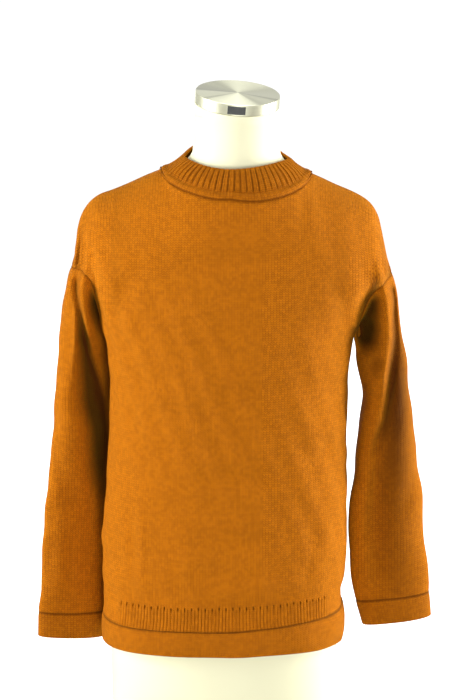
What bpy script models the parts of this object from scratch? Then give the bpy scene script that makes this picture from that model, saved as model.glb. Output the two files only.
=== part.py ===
"""Crewneck sweater, worn by a limbless torso form.

Units are metres, +Z is up and the wearer faces -Y, so the wearer's left is at +X.
The origin is the middle of the form's flat underside.

Every knitted piece is a wall between an outer and an inner grid of points. The grids follow
the cut of the garment: a row is a course of the knit and a column is a wale. Neighbouring
pieces share their edge points and stay one seam gap apart.
"""

import math

import bmesh
import bpy
import numpy as np

COLLECTION = "crewneck_sweater_on_torso_form"

# Cloth walls and the gap left at each seam
KNIT_WALL = 0.0022
RIB_WALL = 0.0024
SEAM_GAP = 0.0004

# Front and back in a y coordinate, and the two sides in an x coordinate
FRONT = -1.0
BACK = 1.0
LEFT = 1.0
RIGHT = -1.0

# Columns of the panels, from the centre line to one side
NECK_COLUMNS = 7
RIB_BAND_COLUMNS = 11
HALF_COLUMNS = 15
NECK_SHARE = 0.34
RIB_BAND_SHARE = 0.64

# Rows of the panels, above and below the underarm
YOKE_ROWS = 12
SHOULDER_CLOSENESS = 1.9
BODY_ROWS = 8
UNDERARM_Z = 0.552
ARMHOLE_REACH = 0.70
FOLD_LEAST_DEPTH = 0.030

# Neckline, in plan
NECK_MID_X = 0.0065
NECK_HALF_WIDTH = 0.108
NECK_FRONT = 0.103
NECK_BACK = 0.062
NECK_PLAN_Z = 0.770

# Collar. The shares are heights of its section, from the seam to the free edge.
COLLAR_RIBS = 45
POINTS_PER_RIB = 4
COLLAR_TOP_HALF_WIDTH = 0.0668
COLLAR_TOP_FRONT = 0.0855
COLLAR_TOP_BACK = 0.0570
COLLAR_TOP_SIDE_Z = 0.8225
COLLAR_FRONT_DROP = 0.0230
COLLAR_BACK_RISE = 0.0140
COLLAR_RIB_HEIGHT = 0.0009
COLLAR_BULGE = 0.0035
COLLAR_BASE_ROLL = 0.0022
COLLAR_BASE_SHARE = 0.10
COLLAR_RIB_SHARE = 0.19
COLLAR_MIDDLE_SHARE = 0.55
COLLAR_EDGE_SHARE = 0.03

# Ribbed band over the hem, and the turned welt under it
HEM_RIBS = 33
HEM_RIB_HEIGHT = 0.0009
STRIP_ROWS = 1
WELT_ROWS = 2

# Sleeves and cuffs
SLEEVE_COLUMNS = 2 * (YOKE_ROWS - 1)
SLEEVE_ROWS = 16
CUFF_ROWS = 2
SLEEVE_CLOSENESS = 1.15
SEAM_SHAPE_REACH = 0.40

# Torso form
FORM_COLUMNS = 28
FORM_SHOULDER_DROP = 0.0034
FORM_SHOULDER_INSET = 0.12
CAP_RADIUS = 0.0595
CAP_HEIGHT = 0.0160
CAP_BEVEL = 0.0012
CAP_CENTRE = (0.0063, -0.0282, 0.8957)
CAP_TILT_FORWARD = math.radians(13.0)
CAP_TILT_SIDE = math.radians(3.3)
CAP_SEAT_GAP = 0.0003
CAP_VERTICES = 40
NECK_RIM = 0.0120
PLATE_COLUMNS = 8
PLATE_WIDTH = 0.0250
PLATE_HEIGHT = 0.0115
PLATE_THICKNESS = 0.0006


def smooth_through(xs, ys, x):
    """Value at x of a smooth curve through the points, with no overshoot between them."""
    xs = np.asarray(xs, float)
    ys = np.asarray(ys, float)
    x = np.clip(np.asarray(x, float), xs[0], xs[-1])
    step = np.diff(xs)
    slope = np.diff(ys) / step
    tangent = np.empty_like(ys)
    tangent[0] = slope[0]
    tangent[-1] = slope[-1]
    for i in range(1, len(xs) - 1):
        if slope[i - 1] * slope[i] <= 0.0:
            tangent[i] = 0.0
        else:
            near = 2.0 * step[i] + step[i - 1]
            far = step[i] + 2.0 * step[i - 1]
            tangent[i] = (near + far) / (near / slope[i - 1] + far / slope[i])
    i = np.clip(np.searchsorted(xs, x, side="right") - 1, 0, len(xs) - 2)
    t = (x - xs[i]) / step[i]
    value = (2.0 * t**3 - 3.0 * t**2 + 1.0) * ys[i] + (3.0 * t**2 - 2.0 * t**3) * ys[i + 1]
    lean = (t**3 - 2.0 * t**2 + t) * tangent[i] + (t**3 - t**2) * tangent[i + 1]
    return value + step[i] * lean


def smoothstep(low, high, x):
    """Soft step from 0 at low to 1 at high."""
    t = np.clip((x - low) / (high - low), 0.0, 1.0)
    return t * t * (3.0 - 2.0 * t)


class Table:
    """A short table of sections: named columns, one row for each section."""

    def __init__(self, columns, *rows):
        self.columns = columns.split()
        self.rows = np.array(sorted(rows), float)

    def at(self, column, key):
        """Value of a column where the first column has the given key."""
        return smooth_through(self.rows[:, 0], self.rows[:, self.columns.index(column)], key)


# Shoulder line, from the neck over the shoulder to the top of the armhole seam.
# x is the distance from the middle. The first rows lie inside the neckline.
SHOULDER = {
    LEFT: Table(
        "x z",
        (0.000, 0.8220),
        (0.050, 0.8130),
        (0.085, 0.8010),
        (0.1145, 0.7890),
        (0.1250, 0.7850),
        (0.1480, 0.7745),
        (0.1700, 0.7660),
        (0.1915, 0.7550),
        (0.2020, 0.7460),
        (0.2110, 0.7310),
        (0.2185, 0.7025),
        (0.2260, 0.6710),
        (0.2345, 0.6475),
    ),
    RIGHT: Table(
        "x z",
        (0.000, 0.8220),
        (0.045, 0.8130),
        (0.080, 0.8000),
        (0.1015, 0.7905),
        (0.1165, 0.7845),
        (0.1470, 0.7700),
        (0.1715, 0.7595),
        (0.1865, 0.7540),
        (0.1965, 0.7475),
        (0.2050, 0.7390),
        (0.2130, 0.7255),
        (0.2175, 0.7110),
        (0.2225, 0.6690),
        (0.2285, 0.6480),
    ),
}

# Plan of the body at each height: half widths, depths and squareness
BODY = Table(
    "z left right front back square",
    (0.085, 0.1730, 0.1755, 0.1225, 0.1130, 3.0),
    (0.098, 0.1755, 0.1775, 0.1250, 0.1160, 3.0),
    (0.123, 0.1808, 0.1785, 0.1265, 0.1175, 3.0),
    (0.145, 0.1795, 0.1765, 0.1255, 0.1170, 3.0),
    (0.162, 0.1745, 0.1750, 0.1235, 0.1155, 3.0),
    (0.180, 0.1735, 0.1755, 0.1230, 0.1150, 3.0),
    (0.200, 0.1775, 0.1780, 0.1240, 0.1150, 2.9),
    (0.250, 0.1798, 0.1788, 0.1235, 0.1130, 2.8),
    (0.330, 0.1778, 0.1742, 0.1215, 0.1080, 2.7),
    (0.410, 0.1752, 0.1712, 0.1200, 0.1050, 2.6),
    (0.480, 0.1748, 0.1700, 0.1200, 0.1050, 2.6),
    (0.552, 0.1805, 0.1790, 0.1215, 0.1070, 2.6),
    (0.600, 0.1990, 0.1960, 0.1215, 0.1080, 2.5),
    (0.650, 0.2320, 0.2270, 0.1195, 0.1080, 2.4),
    (0.700, 0.2380, 0.2340, 0.1165, 0.1050, 2.3),
    (0.740, 0.2390, 0.2350, 0.1145, 0.0990, 2.2),
    (0.820, 0.2390, 0.2350, 0.1130, 0.0930, 2.2),
)

# How far below the shoulder line the cloth has rounded over to its full depth
SHOULDER_ROUND = {
    FRONT: Table("x drop", (0.0, 0.120), (0.12, 0.112), (0.20, 0.085), (0.24, 0.070)),
    BACK: Table("x drop", (0.0, 0.130), (0.12, 0.118), (0.20, 0.085), (0.24, 0.070)),
}

# Armhole seam in front, from the shoulder's end to the underarm, with the way it faces.
# It passes the outer layer, a narrow valley, the fold that hangs in front, and the pit.
ARMHOLE = {
    LEFT: Table(
        "share x y z nx ny nz",
        (0.00, 0.2345, 0.0000, 0.6475, 1.00, 0.00, 0.15),
        (0.14, 0.2315, 0.0290, 0.6490, 0.85, 0.50, 0.10),
        (0.27, 0.2250, 0.0400, 0.6450, 0.50, 0.85, 0.05),
        (0.40, 0.2165, 0.0540, 0.6370, 0.10, 1.00, 0.00),
        (0.52, 0.2080, 0.0525, 0.6300, -0.30, 0.90, -0.10),
        (0.64, 0.2010, 0.0410, 0.6180, -0.25, 0.80, -0.50),
        (0.78, 0.1935, 0.0270, 0.5970, 0.00, 0.70, -0.70),
        (0.90, 0.1860, 0.0120, 0.5715, 0.00, 0.45, -0.90),
        (1.00, 0.1805, 0.0000, UNDERARM_Z, 0.00, 0.00, -1.00),
    ),
    RIGHT: Table(
        "share x y z nx ny nz",
        (0.00, 0.2285, 0.0000, 0.6480, 1.00, 0.00, 0.15),
        (0.14, 0.2240, 0.0260, 0.6500, 0.85, 0.50, 0.10),
        (0.27, 0.2125, 0.0370, 0.6490, 0.50, 0.85, 0.05),
        (0.40, 0.2040, 0.0520, 0.6440, 0.10, 1.00, 0.00),
        (0.52, 0.1965, 0.0510, 0.6360, -0.30, 0.90, -0.10),
        (0.64, 0.1925, 0.0400, 0.6210, -0.25, 0.80, -0.50),
        (0.78, 0.1875, 0.0260, 0.5975, 0.00, 0.70, -0.70),
        (0.90, 0.1830, 0.0115, 0.5720, 0.00, 0.45, -0.90),
        (1.00, 0.1790, 0.0000, UNDERARM_Z, 0.00, 0.00, -1.00),
    ),
}

# Valley beside the fold that hangs in front of each arm: place, depth, half its width
ARM_FOLD = {
    LEFT: Table(
        "z x depth width",
        (0.400, 0.2140, 0.0000, 0.0080),
        (0.444, 0.2211, 0.0050, 0.0080),
        (0.485, 0.2264, 0.0090, 0.0080),
        (0.523, 0.2317, 0.0120, 0.0075),
        (0.552, 0.2351, 0.0130, 0.0070),
        (0.596, 0.2330, 0.0130, 0.0070),
        (0.624, 0.2292, 0.0110, 0.0070),
        (0.645, 0.2243, 0.0080, 0.0070),
        (0.664, 0.2179, 0.0060, 0.0070),
        (0.705, 0.2094, 0.0030, 0.0070),
        (0.735, 0.2060, 0.0000, 0.0070),
    ),
    RIGHT: Table(
        "z x depth width",
        (0.420, 0.1690, 0.0000, 0.0080),
        (0.475, 0.1810, 0.0060, 0.0080),
        (0.523, 0.1915, 0.0100, 0.0075),
        (0.565, 0.2003, 0.0120, 0.0070),
        (0.598, 0.2070, 0.0120, 0.0065),
        (0.620, 0.2104, 0.0100, 0.0065),
        (0.6485, 0.2113, 0.0080, 0.0065),
        (0.667, 0.2098, 0.0060, 0.0065),
        (0.704, 0.2008, 0.0030, 0.0065),
        (0.735, 0.1960, 0.0000, 0.0065),
    ),
}

# Recess of each armpit, between the body and the fold that hangs in front of the arm
ARMPIT = {
    LEFT: Table(
        "z x depth width",
        (0.430, 0.1950, 0.0000, 0.0120),
        (0.470, 0.1960, 0.0100, 0.0120),
        (0.500, 0.1960, 0.0190, 0.0130),
        (0.530, 0.1955, 0.0250, 0.0140),
        (0.560, 0.1960, 0.0260, 0.0145),
        (0.600, 0.1980, 0.0150, 0.0120),
        (0.630, 0.2020, 0.0000, 0.0100),
    ),
    RIGHT: Table(
        "z x depth width",
        (0.480, 0.1720, 0.0000, 0.0070),
        (0.520, 0.1760, 0.0070, 0.0070),
        (0.545, 0.1790, 0.0120, 0.0070),
        (0.570, 0.1830, 0.0150, 0.0070),
        (0.600, 0.1870, 0.0100, 0.0070),
        (0.630, 0.1930, 0.0000, 0.0070),
    ),
}

# Sections of each sleeve down its length: heights and reaches of its outer and inner edge,
# depths before and behind its middle, where that middle lies, its turn and squareness
SLEEVE = {
    LEFT: Table(
        "share z_out z_in x_out x_in front back mid turn square",
        (0.00, 0.6475, 0.5520, 0.2345, 0.1805, 0.0600, 0.0640, 0.000, 0.000, 2.0),
        (0.04, 0.6280, 0.5430, 0.2400, 0.1825, 0.0620, 0.0650, 0.000, 0.000, 2.0),
        (0.10, 0.6000, 0.5250, 0.2455, 0.1855, 0.0620, 0.0650, 0.001, 0.000, 2.0),
        (0.20, 0.5500, 0.4960, 0.2535, 0.1920, 0.0600, 0.0640, 0.003, 0.000, 2.1),
        (0.30, 0.5000, 0.4600, 0.2620, 0.1960, 0.0560, 0.0600, 0.005, 0.000, 2.1),
        (0.42, 0.4400, 0.4150, 0.2718, 0.1920, 0.0500, 0.0540, 0.007, 0.000, 2.2),
        (0.54, 0.3800, 0.3650, 0.2797, 0.1895, 0.0430, 0.0480, 0.009, 0.001, 2.2),
        (0.66, 0.3200, 0.3120, 0.2885, 0.1862, 0.0360, 0.0420, 0.011, 0.002, 2.2),
        (0.78, 0.2600, 0.2560, 0.2962, 0.1822, 0.0300, 0.0360, 0.012, 0.002, 2.2),
        (0.90, 0.2050, 0.2000, 0.3025, 0.1885, 0.0240, 0.0290, 0.012, 0.002, 2.2),
        (1.00, 0.1685, 0.1530, 0.3065, 0.1970, 0.0200, 0.0240, 0.011, 0.001, 2.2),
    ),
    RIGHT: Table(
        "share z_out z_in x_out x_in front back mid turn square",
        (0.00, 0.6480, 0.5520, 0.2285, 0.1790, 0.0560, 0.0620, 0.000, 0.000, 2.0),
        (0.04, 0.6290, 0.5430, 0.2338, 0.1800, 0.0590, 0.0640, 0.003, -0.004, 2.0),
        (0.10, 0.6000, 0.5250, 0.2377, 0.1775, 0.0590, 0.0650, 0.008, -0.010, 2.0),
        (0.19, 0.5500, 0.4960, 0.2432, 0.1720, 0.0560, 0.0640, 0.014, -0.016, 2.0),
        (0.28, 0.5000, 0.4600, 0.2478, 0.1705, 0.0510, 0.0600, 0.018, -0.020, 2.1),
        (0.39, 0.4400, 0.4150, 0.2515, 0.1705, 0.0450, 0.0550, 0.018, -0.020, 2.1),
        (0.50, 0.3800, 0.3650, 0.2553, 0.1715, 0.0390, 0.0490, 0.020, -0.022, 2.1),
        (0.61, 0.3200, 0.3120, 0.2608, 0.1735, 0.0330, 0.0440, 0.021, -0.023, 2.2),
        (0.72, 0.2600, 0.2560, 0.2655, 0.1765, 0.0280, 0.0380, 0.022, -0.023, 2.2),
        (0.84, 0.2050, 0.2000, 0.2700, 0.1770, 0.0230, 0.0320, 0.022, -0.022, 2.2),
        (1.00, 0.1285, 0.1185, 0.2742, 0.1785, 0.0180, 0.0240, 0.021, -0.021, 2.2),
    ),
}

# Upper and lower edge of each cuff, in the same columns
CUFF = {
    LEFT: Table(
        "share z_out z_in x_out x_in front back mid turn square",
        (0.0, 0.1685, 0.1530, 0.3065, 0.1970, 0.0200, 0.0240, 0.011, 0.001, 2.2),
        (1.0, 0.1320, 0.1165, 0.3104, 0.2085, 0.0190, 0.0220, 0.010, 0.001, 2.2),
    ),
    RIGHT: Table(
        "share z_out z_in x_out x_in front back mid turn square",
        (0.0, 0.1285, 0.1185, 0.2742, 0.1785, 0.0180, 0.0240, 0.021, -0.021, 2.2),
        (1.0, 0.0914, 0.0795, 0.2746, 0.1785, 0.0170, 0.0220, 0.020, -0.020, 2.2),
    ),
}

# Height of the ribbed band's top, of the welt's top and of the hem, across the garment.
# share runs from the right side seam at -1 over the middle at 0 to the left one at 1.
HEM_LINES = Table(
    "share rib_top welt_top hem",
    (-1.00, 0.1785, 0.1395, 0.0945),
    (-0.60, 0.1785, 0.1405, 0.1040),
    (-0.30, 0.1775, 0.1420, 0.1055),
    (0.00, 0.1775, 0.1430, 0.1055),
    (0.25, 0.1825, 0.1490, 0.1095),
    (0.60, 0.1925, 0.1580, 0.1120),
    (1.00, 0.1960, 0.1600, 0.1000),
)

# Torso form: heights, middles, half widths, depths before and behind, squareness
FORM = Table(
    "z mid_x half mid_y front back square",
    (0.000, 0.0035, 0.1660, 0.000, 0.1010, 0.1000, 2.4),
    (0.030, 0.0035, 0.1680, 0.000, 0.1030, 0.1040, 2.4),
    (0.120, 0.0020, 0.1660, 0.000, 0.1060, 0.1060, 2.4),
    (0.220, 0.0015, 0.1610, 0.000, 0.1040, 0.1020, 2.4),
    (0.330, 0.0010, 0.1520, 0.000, 0.1020, 0.0920, 2.3),
    (0.420, 0.0010, 0.1520, 0.000, 0.1030, 0.0900, 2.3),
    (0.520, 0.0010, 0.1600, 0.000, 0.1080, 0.0940, 2.3),
    (0.600, 0.0020, 0.1690, 0.000, 0.1100, 0.0960, 2.3),
    (0.660, 0.0030, 0.1790, 0.000, 0.1060, 0.0940, 2.2),
    (0.710, 0.0030, 0.1850, 0.000, 0.1000, 0.0880, 2.1),
    (0.740, 0.0020, 0.1830, 0.000, 0.0940, 0.0820, 2.0),
)
FORM_LEVELS = 11
FORM_SHOULDER_REACH = 0.1850
FORM_SHOULDER_LEVELS = (0.750, 0.757, 0.763, 0.769, 0.775, 0.780)
NECK = Table(
    "z mid_y half front back",
    (0.788, -0.002, 0.0940, 0.0700, 0.0500),
    (0.798, -0.004, 0.0830, 0.0670, 0.0510),
    (0.807, -0.007, 0.0700, 0.0640, 0.0540),
    (0.818, -0.010, 0.0625, 0.0620, 0.0600),
    (0.840, -0.014, 0.0610, 0.0610, 0.0610),
    (0.870, -0.021, 0.0600, 0.0600, 0.0600),
)

# Points along each curve that is measured, and the angles shown as sharp edges
PLAN_SAMPLES = 61
SHOULDER_SAMPLES = 240
SHARP_EDGE = math.radians(50.0)
CAP_SHARP_EDGE = math.radians(30.0)

KNIT_COLOUR = (0.56, 0.22, 0.012, 1.0)
FORM_COLOUR = (0.86, 0.83, 0.78, 1.0)
STEEL_COLOUR = (0.62, 0.62, 0.62, 1.0)
PLATE_COLOUR = (0.05, 0.05, 0.05, 1.0)


def clear_scene():
    """Remove every object and the collections left from an earlier run."""
    for scene_object in list(bpy.data.objects):
        bpy.data.objects.remove(scene_object, do_unlink=True)
    for collection in list(bpy.data.collections):
        bpy.data.collections.remove(collection)


def make_material(name, colour, roughness, metallic):
    """Principled material with the part's colour, roughness and metallic value."""
    material = bpy.data.materials.new(name)
    material.use_nodes = True
    shader = material.node_tree.nodes["Principled BSDF"]
    shader.inputs["Base Color"].default_value = colour
    shader.inputs["Roughness"].default_value = roughness
    shader.inputs["Metallic"].default_value = metallic
    return material


def add_object(collection, name, mesh, material):
    """Link a mesh as one named object with its own material."""
    mesh.materials.append(material)
    part = bpy.data.objects.new(name, mesh)
    collection.objects.link(part)
    return part


def mesh_from(name, points, faces):
    """Mesh from points and faces, with every face turned outwards."""
    mesh = bpy.data.meshes.new(name)
    mesh.from_pydata([tuple(point) for point in points], [], faces)
    shape = bmesh.new()
    shape.from_mesh(mesh)
    bmesh.ops.recalc_face_normals(shape, faces=shape.faces[:])
    shape.to_mesh(mesh)
    shape.free()
    mesh.shade_smooth()
    mesh.set_sharp_from_angle(angle=SHARP_EDGE)
    return mesh


def wall_mesh(name, outer, inner, keep=None, closed=False):
    """Closed wall between two grids of points, rimmed wherever the kept cells end."""
    rows, columns = outer.shape[:2]
    last = columns if closed else columns - 1
    faces = []
    edges = {}
    offset = rows * columns
    for i in range(rows - 1):
        for j in range(last):
            if keep is not None and not keep[i, j]:
                continue
            k = (j + 1) % columns
            corners = (i * columns + j, i * columns + k, (i + 1) * columns + k, (i + 1) * columns + j)
            faces.append(corners)
            faces.append(tuple(offset + corner for corner in reversed(corners)))
            for a, b in zip(corners, corners[1:] + corners[:1]):
                edges[(a, b)] = True
    for a, b in edges:
        if (b, a) not in edges:
            faces.append((b, a, offset + a, offset + b))
    points = np.concatenate([outer.reshape(-1, 3), inner.reshape(-1, 3)])
    used = sorted({corner for face in faces for corner in face})
    place = {corner: index for index, corner in enumerate(used)}
    faces = [tuple(place[corner] for corner in face) for face in faces]
    return mesh_from(name, points[used], faces)


def ring_mesh(name, rows):
    """Closed ring whose section is the loop of rows, each row going once around."""
    count, columns = rows.shape[:2]
    faces = []
    for i in range(count):
        for j in range(columns):
            k = (j + 1) % columns
            n = (i + 1) % count
            faces.append((i * columns + j, i * columns + k, n * columns + k, n * columns + j))
    return mesh_from(name, rows.reshape(-1, 3), faces)


def capped_mesh(name, rows):
    """Closed body through rings of points, with a flat cap at each end."""
    count, columns = rows.shape[:2]
    faces = [tuple(range(columns)), tuple((count - 1) * columns + j for j in range(columns))]
    for i in range(count - 1):
        for j in range(columns):
            k = (j + 1) % columns
            faces.append((i * columns + j, i * columns + k, (i + 1) * columns + k, (i + 1) * columns + j))
    return mesh_from(name, rows.reshape(-1, 3), faces)


def unit(vectors):
    """Vectors scaled to length one."""
    return vectors / np.maximum(np.linalg.norm(vectors, axis=-1, keepdims=True), 1e-12)


def grid_normals(grid, outwards, closed=False):
    """Unit normals of a grid, on the side that the outwards vectors point to."""
    down = np.gradient(grid, axis=0)
    if closed:
        across = np.roll(grid, -1, axis=1) - np.roll(grid, 1, axis=1)
    else:
        across = np.gradient(grid, axis=1)
    normals = unit(np.cross(down, across))
    if np.sum(normals * outwards) < 0.0:
        normals = -normals
    return normals


def along(points, shares):
    """Points at shares of a polyline's length, on its straight runs."""
    points = np.asarray(points, float)
    lengths = np.concatenate([[0.0], np.cumsum(np.linalg.norm(np.diff(points, axis=0), axis=1))])
    places = np.asarray(shares, float) * lengths[-1]
    return np.stack([np.interp(places, lengths, points[:, axis]) for axis in range(3)], axis=-1)


def body_quarter(z, side, face, share):
    """Point of the body's plan at a share of the way from the middle to the side seam."""
    reach = BODY.at("left" if side == LEFT else "right", z)
    depth = BODY.at("front" if face == FRONT else "back", z)
    power = 2.0 / BODY.at("square", z)
    angle = np.linspace(0.0, math.pi / 2.0, PLAN_SAMPLES)
    xs = reach * np.sin(angle) ** power
    ys = depth * np.cos(angle) ** power
    lengths = np.concatenate([[0.0], np.cumsum(np.hypot(np.diff(xs), np.diff(ys)))])
    place = share * lengths[-1]
    x = np.interp(place, lengths, xs)
    y = np.interp(place, lengths, ys)
    return np.array([side * x, face * y, z])


def fold_depth(fold, x, z):
    """Depth of a valley at a point of the front, from the valley's own table."""
    gap = (abs(x) - fold.at("x", z)) / fold.at("width", z)
    return fold.at("depth", z) * math.exp(-gap * gap)


def yoke_depth(side, face, x, z):
    """Depth of the cloth before or behind the middle plane, above the underarm."""
    distance = abs(x)
    reach = BODY.at("left" if side == LEFT else "right", z)
    depth = BODY.at("front" if face == FRONT else "back", z)
    square = BODY.at("square", z)
    full = depth * (1.0 - min(distance / reach, 1.0) ** square) ** (1.0 / square)
    drop = max(float(SHOULDER[side].at("z", distance)) - z, 0.0)
    share = min(drop / float(SHOULDER_ROUND[face].at("drop", distance)), 1.0)
    rounded = full * math.sqrt(1.0 - (1.0 - share) ** 2)
    if face == FRONT:
        rounded -= fold_depth(ARM_FOLD[side], x, z) * smoothstep(0.0, FOLD_LEAST_DEPTH, rounded)
    return rounded


def neckline(side, face, share):
    """Point of the neck seam, from the centre line at 0 to the shoulder seam at 1."""
    angle = math.pi / 2.0 * (1.0 - share)
    x = NECK_MID_X + side * NECK_HALF_WIDTH * math.cos(angle)
    y = (NECK_FRONT if face == FRONT else NECK_BACK) * math.sin(angle)
    distance = abs(x)
    depth = BODY.at("front" if face == FRONT else "back", NECK_PLAN_Z)
    reach = BODY.at("left" if side == LEFT else "right", NECK_PLAN_Z)
    square = BODY.at("square", NECK_PLAN_Z)
    full = depth * (1.0 - (distance / reach) ** square) ** (1.0 / square)
    rounding = 1.0 - math.sqrt(1.0 - min(y / full, 1.0) ** 2)
    z = float(SHOULDER[side].at("z", distance))
    z -= float(SHOULDER_ROUND[face].at("drop", distance)) * rounding
    return np.array([x, face * y, z])


def shoulder_seam(side, share):
    """Point of the shoulder seam, from the neck at 0 to the armhole at 1."""
    start = NECK_HALF_WIDTH + side * NECK_MID_X
    table = SHOULDER[side]
    xs = np.linspace(start, table.rows[-1, 0], SHOULDER_SAMPLES)
    zs = table.at("z", xs)
    points = np.stack([side * xs, np.zeros_like(xs), zs], axis=-1)
    return along(points, [share])[0]


def armhole_point(side, face, share):
    """Point of the armhole seam, from the shoulder at 0 to the underarm at 1."""
    table = ARMHOLE[side]
    return np.array([side * table.at("x", share), face * table.at("y", share), table.at("z", share)])


def armhole_facing(side, face, share):
    """Way that the cloth faces at the armhole seam."""
    table = ARMHOLE[side]
    facing = [side * table.at("nx", share), face * table.at("ny", share), table.at("nz", share)]
    return unit(np.array(facing, float))


def half_yoke(side, face):
    """Outer points of half a panel from the neck and shoulder down to the underarm."""
    grid = np.empty((YOKE_ROWS, HALF_COLUMNS + 1, 3))
    shares = column_shares()
    tops = []
    for j in range(HALF_COLUMNS + 1):
        if j <= NECK_COLUMNS:
            tops.append(neckline(side, face, j / NECK_COLUMNS))
        else:
            tops.append(shoulder_seam(side, (shares[j] - NECK_SHARE) / (1.0 - NECK_SHARE)))
    bottoms = [body_quarter(UNDERARM_Z, side, face, share) for share in shares]
    for i in range(YOKE_ROWS):
        v = i / (YOKE_ROWS - 1)
        fall = v**SHOULDER_CLOSENESS
        edge = armhole_point(side, face, v)
        edge_error = abs(edge[1]) - yoke_depth(side, face, edge[0], edge[2])
        for j, u in enumerate(shares):
            top = tops[j]
            bottom = bottoms[j]
            x = (1.0 - fall) * top[0] + fall * bottom[0]
            z = (1.0 - fall) * top[2] + fall * bottom[2]
            x += u * (edge[0] - (1.0 - fall) * tops[-1][0] - fall * bottoms[-1][0])
            z += u * (edge[2] - (1.0 - fall) * tops[-1][2] - fall * bottoms[-1][2])
            depth = yoke_depth(side, face, x, z)
            depth += edge_error * smoothstep(ARMHOLE_REACH, 1.0, u)
            top_error = abs(top[1]) - yoke_depth(side, face, top[0], top[2])
            depth += top_error * (1.0 - v) ** 2
            grid[i, j] = (x, face * max(depth, SEAM_GAP / 2.0), z)
    return grid


def column_shares():
    """Share of the half width at which each column lies."""
    neck = np.linspace(0.0, NECK_SHARE, NECK_COLUMNS + 1)
    band = np.linspace(NECK_SHARE, RIB_BAND_SHARE, RIB_BAND_COLUMNS - NECK_COLUMNS + 1)
    side = np.linspace(RIB_BAND_SHARE, 1.0, HALF_COLUMNS - RIB_BAND_COLUMNS + 1)
    return np.concatenate([neck, band[1:], side[1:]])


def half_body(side, face, shares, start_line, end_line, rows, start_gap):
    """Outer points of half the body between two level lines of the hem table."""
    grid = np.empty((rows, len(shares), 3))
    for i in range(rows):
        for j, share in enumerate(shares):
            if start_line is None:
                high = UNDERARM_Z
            else:
                high = HEM_LINES.at(start_line, side * share) - start_gap
            low = HEM_LINES.at(end_line, side * share)
            z = high + (low - high) * i / (rows - 1)
            point = body_quarter(z, side, face, share)
            point[1] = face * max(abs(point[1]), SEAM_GAP / 2.0)
            grid[i, j] = point
    return grid


def both_halves(make):
    """Join a right and a left half grid along the centre line."""
    right = make(RIGHT)
    left = make(LEFT)
    middle = (right[:, :1] + left[:, :1]) / 2.0
    return np.concatenate([right[:, :0:-1], middle, left[:, 1:]], axis=1)


def flatten_side_normals(normals, rows, columns):
    """Keep the wall square to the seam where front and back meet."""
    for i in rows:
        for j in columns:
            normals[i, j, 1] = 0.0
    normals[:] = unit(normals)


def panel_grids(face):
    """Outer and inner grids of the front or back panel, and the cells that it keeps."""
    shares = column_shares()
    yoke = both_halves(lambda side: half_yoke(side, face))
    body = both_halves(
        lambda side: half_body(side, face, shares, None, "rib_top", BODY_ROWS, 0.0)
    )
    strip = both_halves(
        lambda side: half_body(side, face, shares, "rib_top", "welt_top", STRIP_ROWS + 1, 0.0)
    )
    outer = np.concatenate([yoke, body[1:], strip[1:]])
    outwards = np.zeros_like(outer)
    outwards[..., 1] = face
    normals = grid_normals(outer, outwards)
    last = outer.shape[1] - 1
    shoulders = [j for j in range(last + 1) if abs(j - HALF_COLUMNS) >= NECK_COLUMNS]
    flatten_side_normals(normals, [0], shoulders)
    flatten_side_normals(normals, range(YOKE_ROWS, outer.shape[0]), [0, last])
    for i in range(YOKE_ROWS):
        share = i / (YOKE_ROWS - 1)
        normals[i, 0] = armhole_facing(RIGHT, face, share)
        normals[i, last] = armhole_facing(LEFT, face, share)
    inner = outer - KNIT_WALL * normals
    keep = np.ones((outer.shape[0] - 1, outer.shape[1] - 1), bool)
    keep[-STRIP_ROWS:, HALF_COLUMNS - RIB_BAND_COLUMNS:HALF_COLUMNS + RIB_BAND_COLUMNS] = False
    return outer, inner, keep


def rib_profile(count, height):
    """Rise of each column of a ribbed strip: two low points, then two high ones."""
    steps = np.arange(count * POINTS_PER_RIB + 1) % POINTS_PER_RIB
    return np.where(steps >= POINTS_PER_RIB // 2, height, 0.0)


def rib_band_mesh(name, outer, inner):
    """Ribbed band set into a panel above the welt, with its ribs on the outside."""
    first = HALF_COLUMNS - RIB_BAND_COLUMNS
    last = HALF_COLUMNS + RIB_BAND_COLUMNS
    rib_rise = rib_profile(HEM_RIBS, HEM_RIB_HEIGHT)
    rows_outer = []
    rows_inner = []
    for row in (-1 - STRIP_ROWS, -1):
        edge = outer[row, first:last + 1]
        back = inner[row, first:last + 1]
        length = np.sum(np.linalg.norm(np.diff(edge, axis=0), axis=1))
        trim = SEAM_GAP / length
        shares = np.linspace(trim, 1.0 - trim, HEM_RIBS * POINTS_PER_RIB + 1)
        rows_outer.append(along(edge, shares))
        rows_inner.append(along(back, shares))
    rows_outer = np.array(rows_outer)
    rows_inner = np.array(rows_inner)
    out = unit(rows_outer - rows_inner)
    rows_outer = rows_outer + out * rib_rise[None, :, None]
    shift = np.array([-SEAM_GAP, SEAM_GAP])
    rows_outer[..., 2] += shift[:, None]
    rows_inner[..., 2] += shift[:, None]
    return wall_mesh(name, rows_outer, rows_inner)


def welt_mesh(name, face):
    """Plain turned welt from the band down to the hem."""
    shares = column_shares()
    outer = both_halves(
        lambda side: half_body(side, face, shares, "welt_top", "hem", WELT_ROWS + 1, SEAM_GAP)
    )
    outwards = np.zeros_like(outer)
    outwards[..., 1] = face
    normals = grid_normals(outer, outwards)
    flatten_side_normals(normals, range(outer.shape[0]), [0, outer.shape[1] - 1])
    normals[..., 2] = 0.0
    normals = unit(normals)
    return wall_mesh(name, outer, outer - RIB_WALL * normals)


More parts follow.
